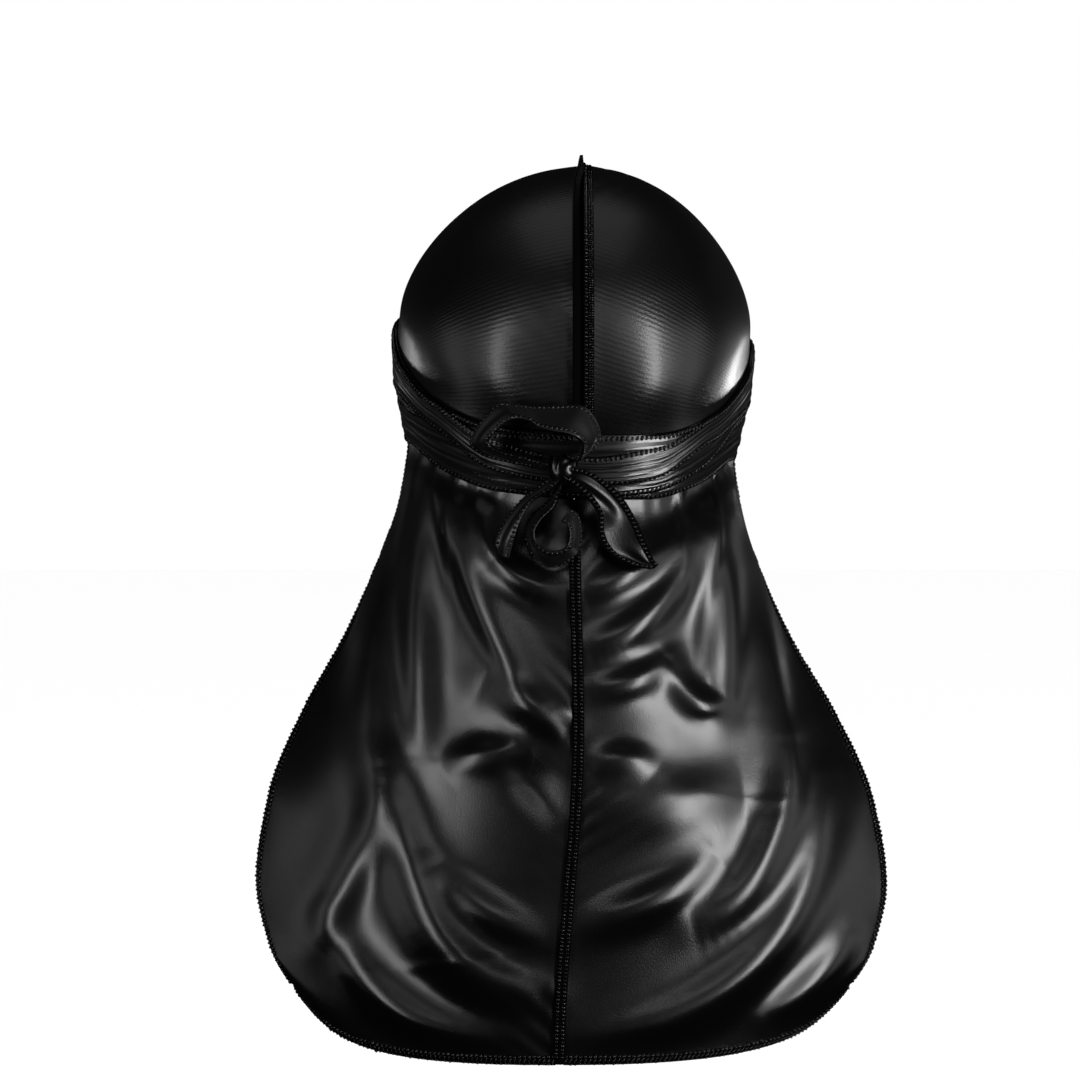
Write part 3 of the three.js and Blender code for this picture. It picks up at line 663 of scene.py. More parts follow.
def strap_place(side):
    """The places of one strap's cloth. The right strap crosses on top."""
    layer = "outer" if side > 0 else "inner"

    def place(u, v):
        start, end = STRAP["turn"][0], STRAP["turn"][-1] + side * knot_turn
        turn = start + (end - start) * v
        middle, half = band_at(side * turn)
        centre = middle + between(STRAP, "turn", "place", turn) * half
        reach = between(STRAP, "turn", "width", turn) * half
        lift = PANEL_LIFT + STRAP_LAYER * between(STRAP, "turn", layer, turn)
        edge = np.abs(2 * u - 1)
        for count, wander, along, share in zip(*PLEATS.values()):
            drift = wander * np.sin(2 * np.pi * (along * v + PLEAT_PHASE * count))
            ridges = 2 * np.abs(np.sin(np.pi * (count * u + drift))) - 1
            lift = lift + PLEAT_HEIGHT * share * ridges * (1 - edge**PLEAT_FADE)
        lift = lift - EDGE_TURN * smoothstep(edge, EDGE_START, 1)
        points = form_at(side * turn, centre + side * reach * (1 - 2 * u), lift)
        points[:, 2] -= CROWN_RISE
        return points

    return place


straps = {}
for side, hand in HANDS:
    straps[hand] = cloth(
        f"strap_{hand}_satin", STRAP_STEPS, STRAP_CUT, strap_place(side), STRAP_WALL
    )
    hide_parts(f"strap_{hand}")
    print(straps[hand].name, len(straps[hand].data.vertices), "corners")

# %% [markdown]
# ## The standing seam
# Where the two panels meet, their edges are sewn together and left outside. Over the crown they stand
# up as a thin fin, which lies over to the left more and more on its way down. Below the band they are a
# low ridge. Both are grids laid along one line, the panels' own middle, and the way out is found from
# that line, so that the fin stands square to it.

# %% The line of the seam
SEAM_CLEAR = 1.2 * MM  # room between the fin's ends and the band
SEAM_POINTS = 2400
RIDGE_START = 0.002
ROW_STEP = 0.25  # rows on both sides, from which the seam's direction is read


def seam_line(v):
    """Points down the middle of the two panels, and the way out from them."""
    step = ROW_STEP / all_rows
    middle = sum(panel_place(side)(np.zeros(len(v)), v) for side in (1, -1)) / 2
    near, far = (panel_place(1)(np.zeros(len(v)), np.clip(v + k, 0, 1)) for k in (-step, step))
    run = far - near
    return middle, unit(np.stack([np.zeros(len(v)), run[:, 2], -run[:, 1]], -1))


def over_band(line, azimuth):
    """Which points of a line are clear above the band's height at an azimuth."""
    middle, half = band_at(azimuth)
    return line[:, 2] + CROWN_RISE > middle + half + SEAM_CLEAR


def part_of(span, share):
    """The place along a panel at a share of one stretch of it."""
    return span[0] + (span[1] - span[0]) * share


along = np.linspace(0, 1, SEAM_POINTS)
line = seam_line(along)[0]
in_front = line[:, 1] > 0
fin_span = (
    along[np.flatnonzero(in_front & over_band(line, 180))[0]],
    along[np.flatnonzero(~in_front & over_band(line, 0))[-1]],
)
ridge_span = (flap_start + RIDGE_START, 1.0)
print("the fin runs from", [round(end, 3) for end in fin_span], "of a panel's length")

# %% Raise the seam
FIN_HEIGHT = 6.0 * MM
FIN_LENGTH = 0.36
FIN_STEPS = (6, 300)
FIN_WALL = 1.3 * MM
# how far the fin lies over to the left, in degrees, at shares of its way from the front to the back
FIN_LEAN = table("along lean", [(0, 4), (0.5, 6), (0.59, 50), (0.72, 70), (1, 73)])
FIN_SINK = 0.4 * MM
FIN_LIFT = 1.2 * MM  # lifts the fin off the panel where it lies over
FIN_ENDS = 0.02  # share of its length in which each end rises
FIN_ENDS_HEIGHT = 0.35
RIDGE_WIDTH = 4.2 * MM
RIDGE_HEIGHT = 1.7 * MM
RIDGE_LIFT = 0.1 * MM
RIDGE_POWER = 3  # flat on top, with round sides
RIDGE_STEPS = (8, 260)


def fin_place(u, v):
    """A place on the fin's right face: u from its crest to its foot, v from front to back."""
    middle, out = seam_line(part_of(fin_span, v))
    ends = smoothstep(v, 0, FIN_ENDS) * (1 - smoothstep(v, 1 - FIN_ENDS, 1))
    lean = np.radians(between(FIN_LEAN, "along", "lean", v))
    reach = FIN_HEIGHT * (FIN_ENDS_HEIGHT + (1 - FIN_ENDS_HEIGHT) * ends) * (1 - u)
    points = middle + out * (reach * np.cos(lean) + FIN_LIFT * np.sin(lean) - FIN_SINK)[:, None]
    points[:, 0] += FIN_WALL / 2 - reach * np.sin(lean)
    return points


def ridge_place(u, v):
    """A place on the ridge: u across it, v down the flap."""
    middle, out = seam_line(part_of(ridge_span, v))
    across = 2 * u - 1
    rise = RIDGE_HEIGHT * (1 - np.abs(across) ** RIDGE_POWER) + RIDGE_LIFT
    points = middle + out * rise[:, None]
    points[:, 0] += across * RIDGE_WIDTH / 2
    return points


fin = cloth("crown_seam_fin", FIN_STEPS, (FIN_HEIGHT, FIN_LENGTH), fin_place, FIN_WALL, inward=True)
ridge = cloth(
    "flap_seam_ridge", RIDGE_STEPS, (RIDGE_WIDTH, FLAP_LENGTH), ridge_place, PANEL_WALL, inward=True
)
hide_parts("crown_seam")
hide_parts("flap_seam")
for piece in (fin, ridge):
    print(piece.name, len(piece.data.vertices), "corners")

# %% [markdown]
# ## Knot and bow
# The straps' ends turn through each other once and the last hand's width of each is left as a loose
# bow: a big loop lying up to the left, a curled one under the knot, and two tails. They are ribbons
# between two edge curves, set out from the knot in shares of the bow's span, and they stand on edge,
# because a sewn satin strap is stiff along its stitching and slack between.

# %% Edges of the bow's ribbons
BOW_SPAN = 40 * MM
BOW_CUTS = {
    "bow_loop": (0.014, 0.125),
    "bow_curl": (0.0134, 0.082),
    "tail_left": (0.0108, 0.045),
    "tail_right": (0.0155, 0.057),
}

# by each name, how far the ribbon is tipped back, in degrees, and its cuts across from end to end:
# right, up and out of the far edge and of the near edge, in shares of BOW_SPAN from the knot's foot
BOW = {
    "bow_loop": (0, [
        (0.02, 0.09, 0.04, 0.1, 0.13, 0.14),
        (0.27, 0.2, 0.03, 0.21, 0.22, 0.26),
        (0.42, 0.38, 0.02, 0.25, 0.4, 0.36),
        (0.37, 0.6, 0.02, 0.21, 0.51, 0.4),
        (0.23, 0.76, 0.02, 0.07, 0.58, 0.42),
        (-0.01, 0.77, 0.02, -0.09, 0.61, 0.43),
        (-0.29, 0.76, 0.02, -0.24, 0.65, 0.42),
        (-0.52, 0.77, 0.02, -0.35, 0.72, 0.4),
        (-0.72, 0.78, 0.02, -0.5, 0.74, 0.36),
        (-0.85, 0.66, 0.03, -0.63, 0.66, 0.3),
        (-0.98, 0.47, 0.04, -0.77, 0.53, 0.26),
        (-1.03, 0.31, 0.05, -0.84, 0.42, 0.24),
        (-0.89, 0.19, 0.05, -0.73, 0.32, 0.24),
        (-0.58, 0.1, 0.05, -0.46, 0.23, 0.22),
        (-0.18, 0.04, 0.05, -0.15, 0.12, 0.16),
    ]),
    "bow_curl": (-22, [
        (-0.01, -0.09, 0.06, 0.01, -0.14, 0.18),
        (-0.15, -0.36, 0.04, -0.08, -0.41, 0.3),
        (-0.34, -0.52, 0.03, -0.21, -0.56, 0.36),
        (-0.43, -0.7, 0.02, -0.29, -0.7, 0.4),
        (-0.37, -0.93, 0.02, -0.27, -0.83, 0.4),
        (-0.18, -1.11, 0.02, -0.16, -0.92, 0.38),
        (0.01, -1.06, 0.03, -0.03, -0.93, 0.36),
        (0.15, -0.94, 0.04, 0.07, -0.88, 0.36),
        (0.2, -0.75, 0.05, 0.1, -0.75, 0.34),
        (0.17, -0.54, 0.06, 0.07, -0.64, 0.32),
        (0.07, -0.45, 0.1, -0.01, -0.59, 0.3),
    ]),
    "tail_left": (-24, [
        (-0.06, -0.06, 0.06, -0.01, -0.13, 0.18),
        (-0.32, -0.23, 0.03, -0.2, -0.29, 0.22),
        (-0.49, -0.37, 0.02, -0.34, -0.4, 0.22),
        (-0.66, -0.6, 0, -0.46, -0.58, 0.2),
        (-0.76, -0.83, 0, -0.54, -0.79, 0.16),
        (-0.72, -0.97, 0, -0.6, -1.02, 0.1),
    ]),
    "tail_right": (-20, [
        (0.02, 0, 0.14, 0.02, -0.08, 0.24),
        (0.26, -0.02, 0.16, 0.18, -0.21, 0.3),
        (0.49, -0.16, 0.12, 0.33, -0.36, 0.28),
        (0.68, -0.35, 0.06, 0.42, -0.52, 0.22),
        (0.82, -0.56, 0, 0.41, -0.75, 0.14),
        (0.93, -0.82, -0.04, 0.51, -0.94, 0.08),
        (1.01, -1.02, -0.06, 0.76, -1.08, 0.04),
        (1.07, -1.1, -0.08, 1.03, -1.13, 0),
    ]),
}
print("ribbons:", {name: len(cuts) for name, (_, cuts) in BOW.items()})

# %% [markdown]
# ### From edges to ribbons
# Each edge is a smooth curve through its few points. The cloth spans the two edges with a little belly,
# and with soft pleats where the knot keeps it narrow. The whole bow is then set on the band and turned
# to face straight out of it.

# %% Lay the ribbons
TIE_LIFT = 5.9 * MM
BOW_WALL = 0.5 * MM
BOW_STEPS = (18, 160)
BOW_BELLY = 0.03
BOW_PLEAT = 0.035
BOW_PLEATS = (1.6, 1.3, 0.2)  # waves across the ribbon, waves along it, and where they start
PLEATED_WIDTHS = (0.5, 0.3)  # in shares of BOW_SPAN: flat from the first, pleated below the second
BOW_ROOT = 0.15  # share of the length in which belly and pleats rise from the knot
BOW_STEP = 0.01

seat = form_at(knot_turn, band_at(knot_turn)[0])
seat_out = form_normal(seat)
aside, down = (
    Matrix.Rotation(angle, 4, axis)
    for angle, axis in ((np.radians(knot_turn), "Z"), (np.arcsin(-seat_out[2]), "X"))
)
tie_foot = Vector(seat + seat_out * TIE_LIFT - np.array([0, 0, CROWN_RISE]))
tie = Matrix.Translation(tie_foot) @ (aside @ down)


def smooth_through(points, at):
    """A smooth curve through a few points, read at shares of its way."""
    padded = np.vstack([2 * points[0] - points[1], points, 2 * points[-1] - points[-2]])
    reach = np.clip(at, 0, 1) * (len(points) - 1)
    k = np.minimum(reach.astype(int), len(points) - 2)
    t = (reach - k)[:, None]
    a, b, c, d = (padded[k + i] for i in range(4))
    return b + 0.5 * t * (c - a + t * (2 * a - 5 * b + 4 * c - d + t * (3 * (b - c) + d - a)))


def bow_place(name):
    """The places of one ribbon: u from its far edge to its near one, v along it from the knot."""
    lean, cuts = BOW[name]
    turned = np.array((tie @ Matrix.Rotation(np.radians(lean), 4, "X")))
    # right is X, out is -Y and up is Z
    edges = np.array(cuts)[:, [0, 2, 1, 3, 5, 4]] * np.array([1, -1, 1, 1, -1, 1]) * BOW_SPAN
    far_edge, near_edge = edges[:, :3], edges[:, 3:]
    across, along, start = BOW_PLEATS

    def place(u, v):
        far, near = smooth_through(far_edge, v), smooth_through(near_edge, v)
        points = far + (near - far) * u[:, None]
        ahead = smooth_through(far_edge, v + BOW_STEP) - smooth_through(far_edge, v - BOW_STEP)
        wide = np.linalg.norm(near - far, axis=1)
        bulge = unit(np.cross(ahead, near - far)) * wide[:, None]
        pleats = np.sin(2 * np.pi * (across * u + along * v + start))
        pleats = BOW_PLEAT * smoothstep(wide / BOW_SPAN, *PLEATED_WIDTHS) * pleats
        belly = BOW_BELLY * np.sin(np.pi * u) + pleats
        points = points + bulge * (belly * smoothstep(v, 0, BOW_ROOT))[:, None]
        return points @ turned[:3, :3].T + turned[:3, 3]

    return place


bows = {}
for name in BOW:
    bows[name] = cloth(f"{name}_satin", BOW_STEPS, BOW_CUTS[name], bow_place(name), BOW_WALL)
    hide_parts(name)
print("bow pieces:", sorted(bows))

# %% [markdown]
# ### The knot
# A pulled knot in satin is a small hard ball with creases that swirl round it. It is a sphere whose
# corners are moved: pinched at the sides, creased by a wave that turns as it goes outwards, and
# flattened against the band.

# %% Shape the knot
KNOT_WIDTH = 13.5 * MM
KNOT_HEIGHT = 14 * MM
KNOT_DEPTH = 10 * MM
KNOT_FLAT = 0.6  # shares of the depth: how far the ball reaches from its middle, and how far that sinks
KNOT_SINK = 0.38
KNOT_PINCH = 0.1
KNOT_CREASE = 0.1
KNOT_FOLDS = 7
KNOT_SWIRL = 1.4

bm = bmesh.new()
bmesh.ops.create_uvsphere(bm, u_segments=48, v_segments=32, radius=1)
for corner in bm.verts:
    x, y, z = corner.co
    round_at = np.arctan2(z, x)
    girth = max(1 - y * y, 0)
    pinch = 1 - KNOT_PINCH * np.cos(2 * round_at) * girth
    crease = 1 + KNOT_CREASE * np.cos(KNOT_FOLDS * (round_at + KNOT_SWIRL * y)) * girth**0.5
    corner.co = (
        x * pinch * crease * KNOT_WIDTH / 2,
        y * KNOT_DEPTH * KNOT_FLAT - KNOT_DEPTH * KNOT_SINK,
        z * pinch * crease * KNOT_HEIGHT / 2,
    )
bmesh.ops.transform(bm, matrix=tie, verts=bm.verts)
chart = bm.loops.layers.uv.new("cut")
for face in bm.faces:
    for loop in face.loops:
        loop[chart].uv = (loop.vert.co.x + loop.vert.co.y, loop.vert.co.z)
mesh = mesh_from("knot_satin", bm)
mesh.shade_smooth()
knot = put("knot_satin", mesh)
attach(knot, "root")
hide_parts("knot")
print("knot", [round(side / MM, 1) for side in knot.dimensions], "mm")

# %% [markdown]
# ## Overlock stitching
# Every edge is closed by an overlock machine, which leaves a row of round thread loops on the cloth and
# short threads that reach from them over the edge, a little over 2 mm apart. One stitch is modelled
# from a few small rounded threads. Under the stitches lies a thin strip for the threads that are too
# close together to be seen apart. That strip is coloured darker and duller than the thread: painted
# shade between the loops.

# %% One stitch
STITCH_PITCH = 2.15 * MM
STITCH_SLANT = np.radians(28)
STITCH_RISE = 0.3
STITCH_SPREAD = 0.07  # no two stitches are pulled equally tight
# each rounded thread of a stitch: place out to the edge, its half length, breadth and height, its slant
HEM_STITCH = table("aside length breadth rise slant", [
    (-1.45, 1.0, 0.7, 0.75, 1),
    (0.35, 0.36, 1.5, 0.42, -1),
    (1.75, 0.62, 0.5, 0.5, 0.4),
])
STRAP_STITCH = table("aside length breadth rise slant", [
    (-0.1, 0.78, 1.15, 0.85, -0.6),
])
# the strip under the stitches: places out to the edge, and heights, in mm
HEM_COVER = table("aside rise", [(-2.2, 0), (-1.6, 0.3), (0, 0.42), (1.7, 0.36), (2.3, -0.2)])
STRAP_COVER = table("aside rise", [(-1.6, 0), (-1.2, 0.2), (0, 0.3), (1.3, 0.2), (1.6, -0.2)])


def stitch_mesh(threads):
    """One stitch about the origin: X along the edge, Y out to it, Z out of the cloth."""
    bm = bmesh.new()
    for aside, length, breadth, rise, slant in zip(*threads.values()):
        at = Matrix.Translation((0, aside * MM, STITCH_RISE * MM))
        at = at @ Matrix.Rotation(slant * STITCH_SLANT, 4, "Z")
        size = Matrix.Diagonal((length * MM, breadth * MM, rise * MM, 1))
        bmesh.ops.create_uvsphere(bm, u_segments=8, v_segments=5, radius=1, matrix=at @ size)
    return mesh_from("stitch", bm)


HEM_SEWING = (stitch_mesh(HEM_STITCH), HEM_COVER)
STRAP_SEWING = (stitch_mesh(STRAP_STITCH), STRAP_COVER)
print("a hem stitch has", len(HEM_SEWING[0].polygons), "faces")

# %% [markdown]
# ### Sewing along an edge
# The stitch is set down along a line at its pitch, turned to the cloth under it. There are thousands of
# them, and joining them one by one with bmesh operators would take minutes, so all places are worked
# out at once and the row is made as one mesh from its list of corners and faces.

# %% Helpers that sew
EDGE_POINTS = 60
HEM_INSET = 2.1 * MM
draw = np.random.default_rng(11)


def stitches_along(stitch, scale, line, up, aside):
    """Corners and faces of the stitches along a line."""
    shape = np.array([corner.co for corner in stitch.vertices]) * scale
    sides = [np.array(face.vertices) for face in stitch.polygons]
    gone = np.concatenate([[0], np.cumsum(np.linalg.norm(np.diff(line, axis=0), axis=1))])
    count = int(gone[-1] / STITCH_PITCH / scale)
    at = (np.arange(count) + 0.5) * gone[-1] / count
    spot, over, far = (
        np.stack([np.interp(at, gone, ways[:, k]) for k in range(3)], -1) for ways in (line, up, aside)
    )
    turn = np.stack([np.cross(far, over), far, over], 1)
    size = 1 + draw.normal(0, STITCH_SPREAD, (count, 1, 1))
    corners = (spot[:, None] + size * (shape @ turn)).reshape(-1, 3)
    return corners, [side + k * len(shape) for k in range(count) for side in sides]


def cover_along(cover, scale, line, up, aside):
    """Corners and faces of the strip under them."""
    rows = [line + aside * a * MM * scale + up * r * MM * scale for a, r in zip(*cover.values())]
    wide = len(rows)
    square = np.array([0, 1, wide + 1, wide])
    faces = [square + k * wide + j for k in range(len(line) - 1) for j in range(wide - 1)]
    return np.stack(rows, 1).reshape(-1, 3), faces


def sew(name, edges, sewing, scale=1.0):
    """Stitches and strips along edges, each given as (points, ways out, ways to the edge)."""
    corners, faces, finish, total = [], [], [], 0
    for line, out, outer in edges:
        up = unit(out)
        aside = unit(outer - up * np.sum(outer * up, axis=1, keepdims=True))
        parts = (
            stitches_along(sewing[0], scale, line, up, aside),
            cover_along(sewing[1], scale, line, up, aside),
        )
        for number, (places, sides) in enumerate(parts):
            corners.append(places)
            faces += [(side + total).tolist() for side in sides]
            finish += [number] * len(sides)
            total += len(places)
    mesh = bpy.data.meshes.new(name)
    mesh.from_pydata(np.concatenate(corners), [], faces)
    mesh.polygons.foreach_set("material_index", finish)
    mesh.shade_smooth()
    row = put(name, mesh)
    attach(row, "root")
    print(name, finish.count(0) // len(sewing[0].polygons), "stitches")
    return row


def edge_of(place, cut, u=None, v=None, inset=HEM_INSET, span=(0, 1), facing=None):
    """A line just inside one edge of a laid sheet, with the ways out of the cloth and to the edge."""
    fixed, size, length = (u, cut[0], cut[1]) if v is None else (v, cut[1], cut[0])
    steps = np.linspace(*span, max(int(length / MM), EDGE_POINTS))
    shift = inset / size * (1 if fixed < 0.5 else -1)

    def read(share):
        held = np.full(len(steps), share)
        return place(held, steps) if v is None else place(steps, held)

    line, outer = read(fixed + shift), read(fixed) - read(fixed + 2 * shift)
    out = unit(np.cross(outer, np.gradient(line, axis=0)))
    hint = line * np.array([1, 1, 0]) if facing is None else np.array(facing)
    return line, out * np.sign(np.sum(out * hint, axis=1))[:, None], outer


print("stitches lie", round(STITCH_PITCH / MM, 2), "mm apart")

# %% [markdown]
# ### Which edges are sewn
# The hem runs round each panel. The straps and the bow's ribbons have a smaller stitch along both edges.
# Spans stop short of the corners, where the rows would run into each other.

# %% Sew the hems, the straps and the bow
STRAP_INSET = 1.4 * MM
STRAP_SCALE = 1.1
BOW_INSET = 1.3 * MM
BOW_SCALE = 0.98

sewn_on = {}
for side, hand in HANDS:
    place = panel_place(side)
    hem = sew(f"hem_stitches_{hand}", [
        edge_of(place, PANEL_CUT, v=1, span=(0.01, 0.985)),
        edge_of(place, PANEL_CUT, u=1, span=(flap_start, 0.99)),
    ], HEM_SEWING)
    rim = sew(f"cap_stitches_{hand}", [
        edge_of(place, PANEL_CUT, v=0, span=(0.02, 0.98)),
        edge_of(place, PANEL_CUT, u=1, span=(0.01, CROWN_ROWS / all_rows)),
    ], HEM_SEWING)
    sewn_on[panels[hand].name] = [hem, rim]
for side, hand in HANDS:
    place = strap_place(side)
    sewn_on[straps[hand].name] = [sew(f"strap_stitches_{hand}", [
        edge_of(place, STRAP_CUT, u=edge, inset=STRAP_INSET, span=(0.01, 0.995)) for edge in (0, 1)
    ], STRAP_SEWING, scale=STRAP_SCALE)]
for name, piece in bows.items():
    place, cut = bow_place(name), BOW_CUTS[name]
    sewn_on[piece.name] = [sew(f"{name}_stitches", [
        edge_of(place, cut, u=edge, inset=BOW_INSET, span=(0.04, 0.99), facing=(0, -1, 0))
        for edge in (0, 1)
    ], STRAP_SEWING, scale=BOW_SCALE)]

# %% [markdown]
# ### Thread on the seam
# The fin's own overlock shows as a row of beads on its right side and a net of smaller ones at its foot.
# The ridge on the flap carries a row of beads on each side.

# %% Sew the seam
BEAD_RISE = 1.3 * MM
BEAD_SCALE = 0.85
NET_RISE = 0.75 * MM
NET_ROWS = (1.6, 2.8)  # mm right of the fin's foot
NET_SCALE = 0.55
RIDGE_BEADS = (0.14, 0.82)  # shares of the ridge's width
RIDGE_BEAD_RISE = 0.2 * MM
RIDGE_BEAD_SCALE = 0.8

span = np.linspace(0.01, 0.99, 700)
foot = fin_place(np.ones(len(span)), span)
out = seam_line(part_of(fin_span, span))[1]
right = np.tile([1.0, 0, 0], (len(span), 1))
beads = [(foot + out * BEAD_RISE, unit(out + right), right)]
net = [(foot + right * aside * MM + out * NET_RISE, out, right) for aside in NET_ROWS]
seam_rows = [
    sew("crown_seam_beads", beads, STRAP_SEWING, scale=BEAD_SCALE),
    sew("crown_seam_net", net, STRAP_SEWING, scale=NET_SCALE),
]
span = np.linspace(0.01, 0.99, 500)
out = seam_line(part_of(ridge_span, span))[1]
crest, *sides = (ridge_place(np.full(len(span), share), span) for share in (0.5, *RIDGE_BEADS))
beads = [(line + out * RIDGE_BEAD_RISE, out, line - crest) for line in sides]
seam_rows.append(sew("flap_seam_beads", beads, STRAP_SEWING, scale=RIDGE_BEAD_SCALE))

# %% [markdown]
# ## Floor
# The object hangs free, as it is worn, so the floor lies a little below the hem: one wide pale disc
# that fades into a backdrop of its own colour. The satin doesn't mirror it, because its white would
# take the place of the soft boxes in every fold.

# %% Pale floor
FLOOR_DROP = 60 * MM
FLOOR_RADIUS = 40
bm = bmesh.new()
at_floor = Matrix.Translation((0, 0, cad_box[0].z - FLOOR_DROP))
bmesh.ops.create_circle(bm, cap_ends=True, segments=64, radius=FLOOR_RADIUS, matrix=at_floor)
floor = put("pale_floor", mesh_from("pale_floor", bm))
floor.visible_glossy = False
floor.visible_diffuse = False
print("floor", round(FLOOR_DROP / MM), "mm under the hem")

# %% [markdown]
# ## Materials
# Satin is woven so that one set of threads floats over four or more of the other. Those long floats are
# nearly parallel, so the cloth shines in streaks across them: anisotropic gloss. The yarn is polyester,
# clear and smooth, dyed nearly black. The back of the cloth shows the other threads and is duller.

# %% Helpers for colours and nodes
def linear(hex_colour):
    """An sRGB hex colour as linear red, green, blue and alpha."""
    parts = [int(hex_colour[k:k + 2], 16) / 255 for k in (1, 3, 5)]
    return (*[p / 12.92 if p <= 0.04045 else ((p + 0.055) / 1.055) ** 2.4 for p in parts], 1)


def add_node(tree, kind, sockets=None, **settings):
    """A shader node with its settings, and with values or links given to its sockets."""
    made = tree.nodes.new("ShaderNode" + kind)
    for key, value in settings.items():
        setattr(made, key, value)
    for key, value in (sockets or {}).items():
        if isinstance(value, bpy.types.NodeSocket):
            tree.links.new(value, made.inputs[key])
        else:
            made.inputs[key].default_value = value
    return made


def new_material(name):
    """An empty node material and its tree."""
    made = bpy.data.materials.new(name)
    made.use_nodes = True
    made.node_tree.nodes.clear()
    return made, made.node_tree


print("near black", [round(c, 4) for c in linear("#0b0b0c")])

# %% [markdown]
# ### What the cloth is made of
# Satin could be a plain glossy black, but then it would look like rubber. Three things make it cloth: a
# gloss that is streaked along its own UV map, a fine grain that breaks the highlights' edges, and a
# cross rib where the cap stretches the weave open. A thin coat adds the sharp highlight of pressed
# polyester. Overlock thread is spun and dull, and only its round tops catch light. The strip under the
# stitches, the fin and the ridge are a near-black matt that is darker than their thread and satin:
# painted shade.

# %% Satin, thread and paper
WAVE_LENGTH = 0.314  # a wave texture at scale 1 repeats at this length
RIB_SPACING = 1.9 * MM  # the real threads lie 0.1 mm apart, too fine to show at this distance
RIB_STRENGTH = 0.12
RIB_FOOT = (-0.13, -0.09)  # heights between which the rib fades in: only the stretched cap shows it
GRAIN = 0.55 * MM  # coarser than real satin's too, so that it shows
SLUB = 9 * MM  # uneven yarn makes the gloss drift from place to place
RELIEF = 0.3 * MM
THREAD_WAVE = 900.0  # puts the turns of the thread 0.35 mm apart


def satin(name, colour, roughness, gloss_streak, turned=0.0, coat=0.5):
    """Woven black polyester. turned is the way of its streaks, in turns from the cloth's width."""
    made, tree = new_material(name)
    cut = add_node(tree, "UVMap", uv_map="cut")
    spot = add_node(tree, "TexCoord")
    place = add_node(tree, "SeparateXYZ", {"Vector": spot.outputs["Object"]})
    stretched = add_node(tree, "MapRange", {
        "Value": place.outputs["Z"], "From Min": RIB_FOOT[0], "From Max": RIB_FOOT[1],
        "To Min": 0.0, "To Max": RIB_STRENGTH,
    })
    ribs = add_node(tree, "TexWave", {
        "Vector": cut.outputs["UV"], "Scale": WAVE_LENGTH / RIB_SPACING, "Distortion": 1.2,
        "Detail": 1.0, "Detail Scale": 1.5,
    }, bands_direction="Y")
    drift = add_node(tree, "TexNoise", {
        "Vector": spot.outputs["Object"], "Scale": 1 / SLUB, "Detail": 4.0,
    })
    grain = add_node(tree, "TexNoise", {
        "Vector": spot.outputs["Object"], "Scale": 1 / GRAIN, "Detail": 1.0,
    })
    rough = add_node(tree, "MapRange", {
        "Value": drift.outputs["Fac"], "From Min": 0.3, "From Max": 0.7,
        "To Min": roughness - 0.01, "To Max": roughness + 0.015,
    })
    spread = add_node(tree, "Math", {
        0: rough.outputs["Result"], 1: stretched.outputs["Result"],
    }, operation="ADD")
    rib_bump = add_node(tree, "Bump", {
        "Height": ribs.outputs["Fac"], "Strength": stretched.outputs["Result"], "Distance": RELIEF,
    })
    bump = add_node(tree, "Bump", {
        "Height": grain.outputs["Fac"], "Normal": rib_bump.outputs["Normal"],
        "Strength": 0.2, "Distance": RELIEF,
    })
    tangent = add_node(tree, "Tangent", direction_type="UV_MAP", uv_map="cut")
    gloss = add_node(tree, "BsdfPrincipled", {
        "Base Color": linear(colour), "Roughness": spread.outputs["Value"], "IOR": 1.5,
        "Anisotropic": gloss_streak, "Anisotropic Rotation": turned,
        "Tangent": tangent.outputs["Tangent"], "Normal": bump.outputs["Normal"],
        "Coat Weight": coat, "Coat Roughness": 0.21, "Coat Normal": bump.outputs["Normal"],
    })
    add_node(tree, "OutputMaterial", {"Surface": gloss.outputs["BSDF"]})
    return made


def thread_material(name, colour, roughness, shine):
    """Spun polyester thread, with the turns of its strands as a fine relief."""
    made, tree = new_material(name)
    spot = add_node(tree, "TexCoord")
    twist = add_node(tree, "TexWave", {
        "Vector": spot.outputs["Object"], "Scale": THREAD_WAVE, "Distortion": 2.0,
    }, bands_direction="DIAGONAL")
    bump = add_node(tree, "Bump", {
        "Height": twist.outputs["Fac"], "Strength": 0.3, "Distance": 0.2 * MM,
    })
    body = add_node(tree, "BsdfPrincipled", {
        "Base Color": linear(colour), "Roughness": roughness, "Normal": bump.outputs["Normal"],
        "Specular IOR Level": shine,
    })
    add_node(tree, "OutputMaterial", {"Surface": body.outputs["BSDF"]})
    return made


def pale_paper():
    """Matt paper, as a studio's backdrop is."""
    made, tree = new_material("white_matt_paper")
    spot = add_node(tree, "TexCoord")
    grain = add_node(tree, "TexNoise", {"Vector": spot.outputs["Object"], "Scale": 60.0})
    tone = add_node(tree, "MapRange", {"Value": grain.outputs["Fac"], "To Min": 0.86, "To Max": 0.9})
    body = add_node(tree, "BsdfPrincipled", {"Base Color": tone.outputs["Result"], "Roughness": 0.9})
    add_node(tree, "OutputMaterial", {"Surface": body.outputs["BSDF"]})
    return made


satin_face = satin("black_polyester_satin", "#060607", 0.3, 0.5)
strap_face = satin("black_strap_satin", "#060607", 0.3, 0.5, turned=0.25)
# the bow's ribbons and the knot are the straps' own cloth; their base is painted a little darker, as
# shade
bow_face_painted_darker = satin("black_bow_satin_painted_darker", "#050506", 0.32, 0.5, turned=0.25, coat=0.22)
satin_back = satin("black_satin_back", "#0a0a0b", 0.55, 0.2)
thread = thread_material("polyester_overlock_thread", "#121214", 0.24, 0.6)
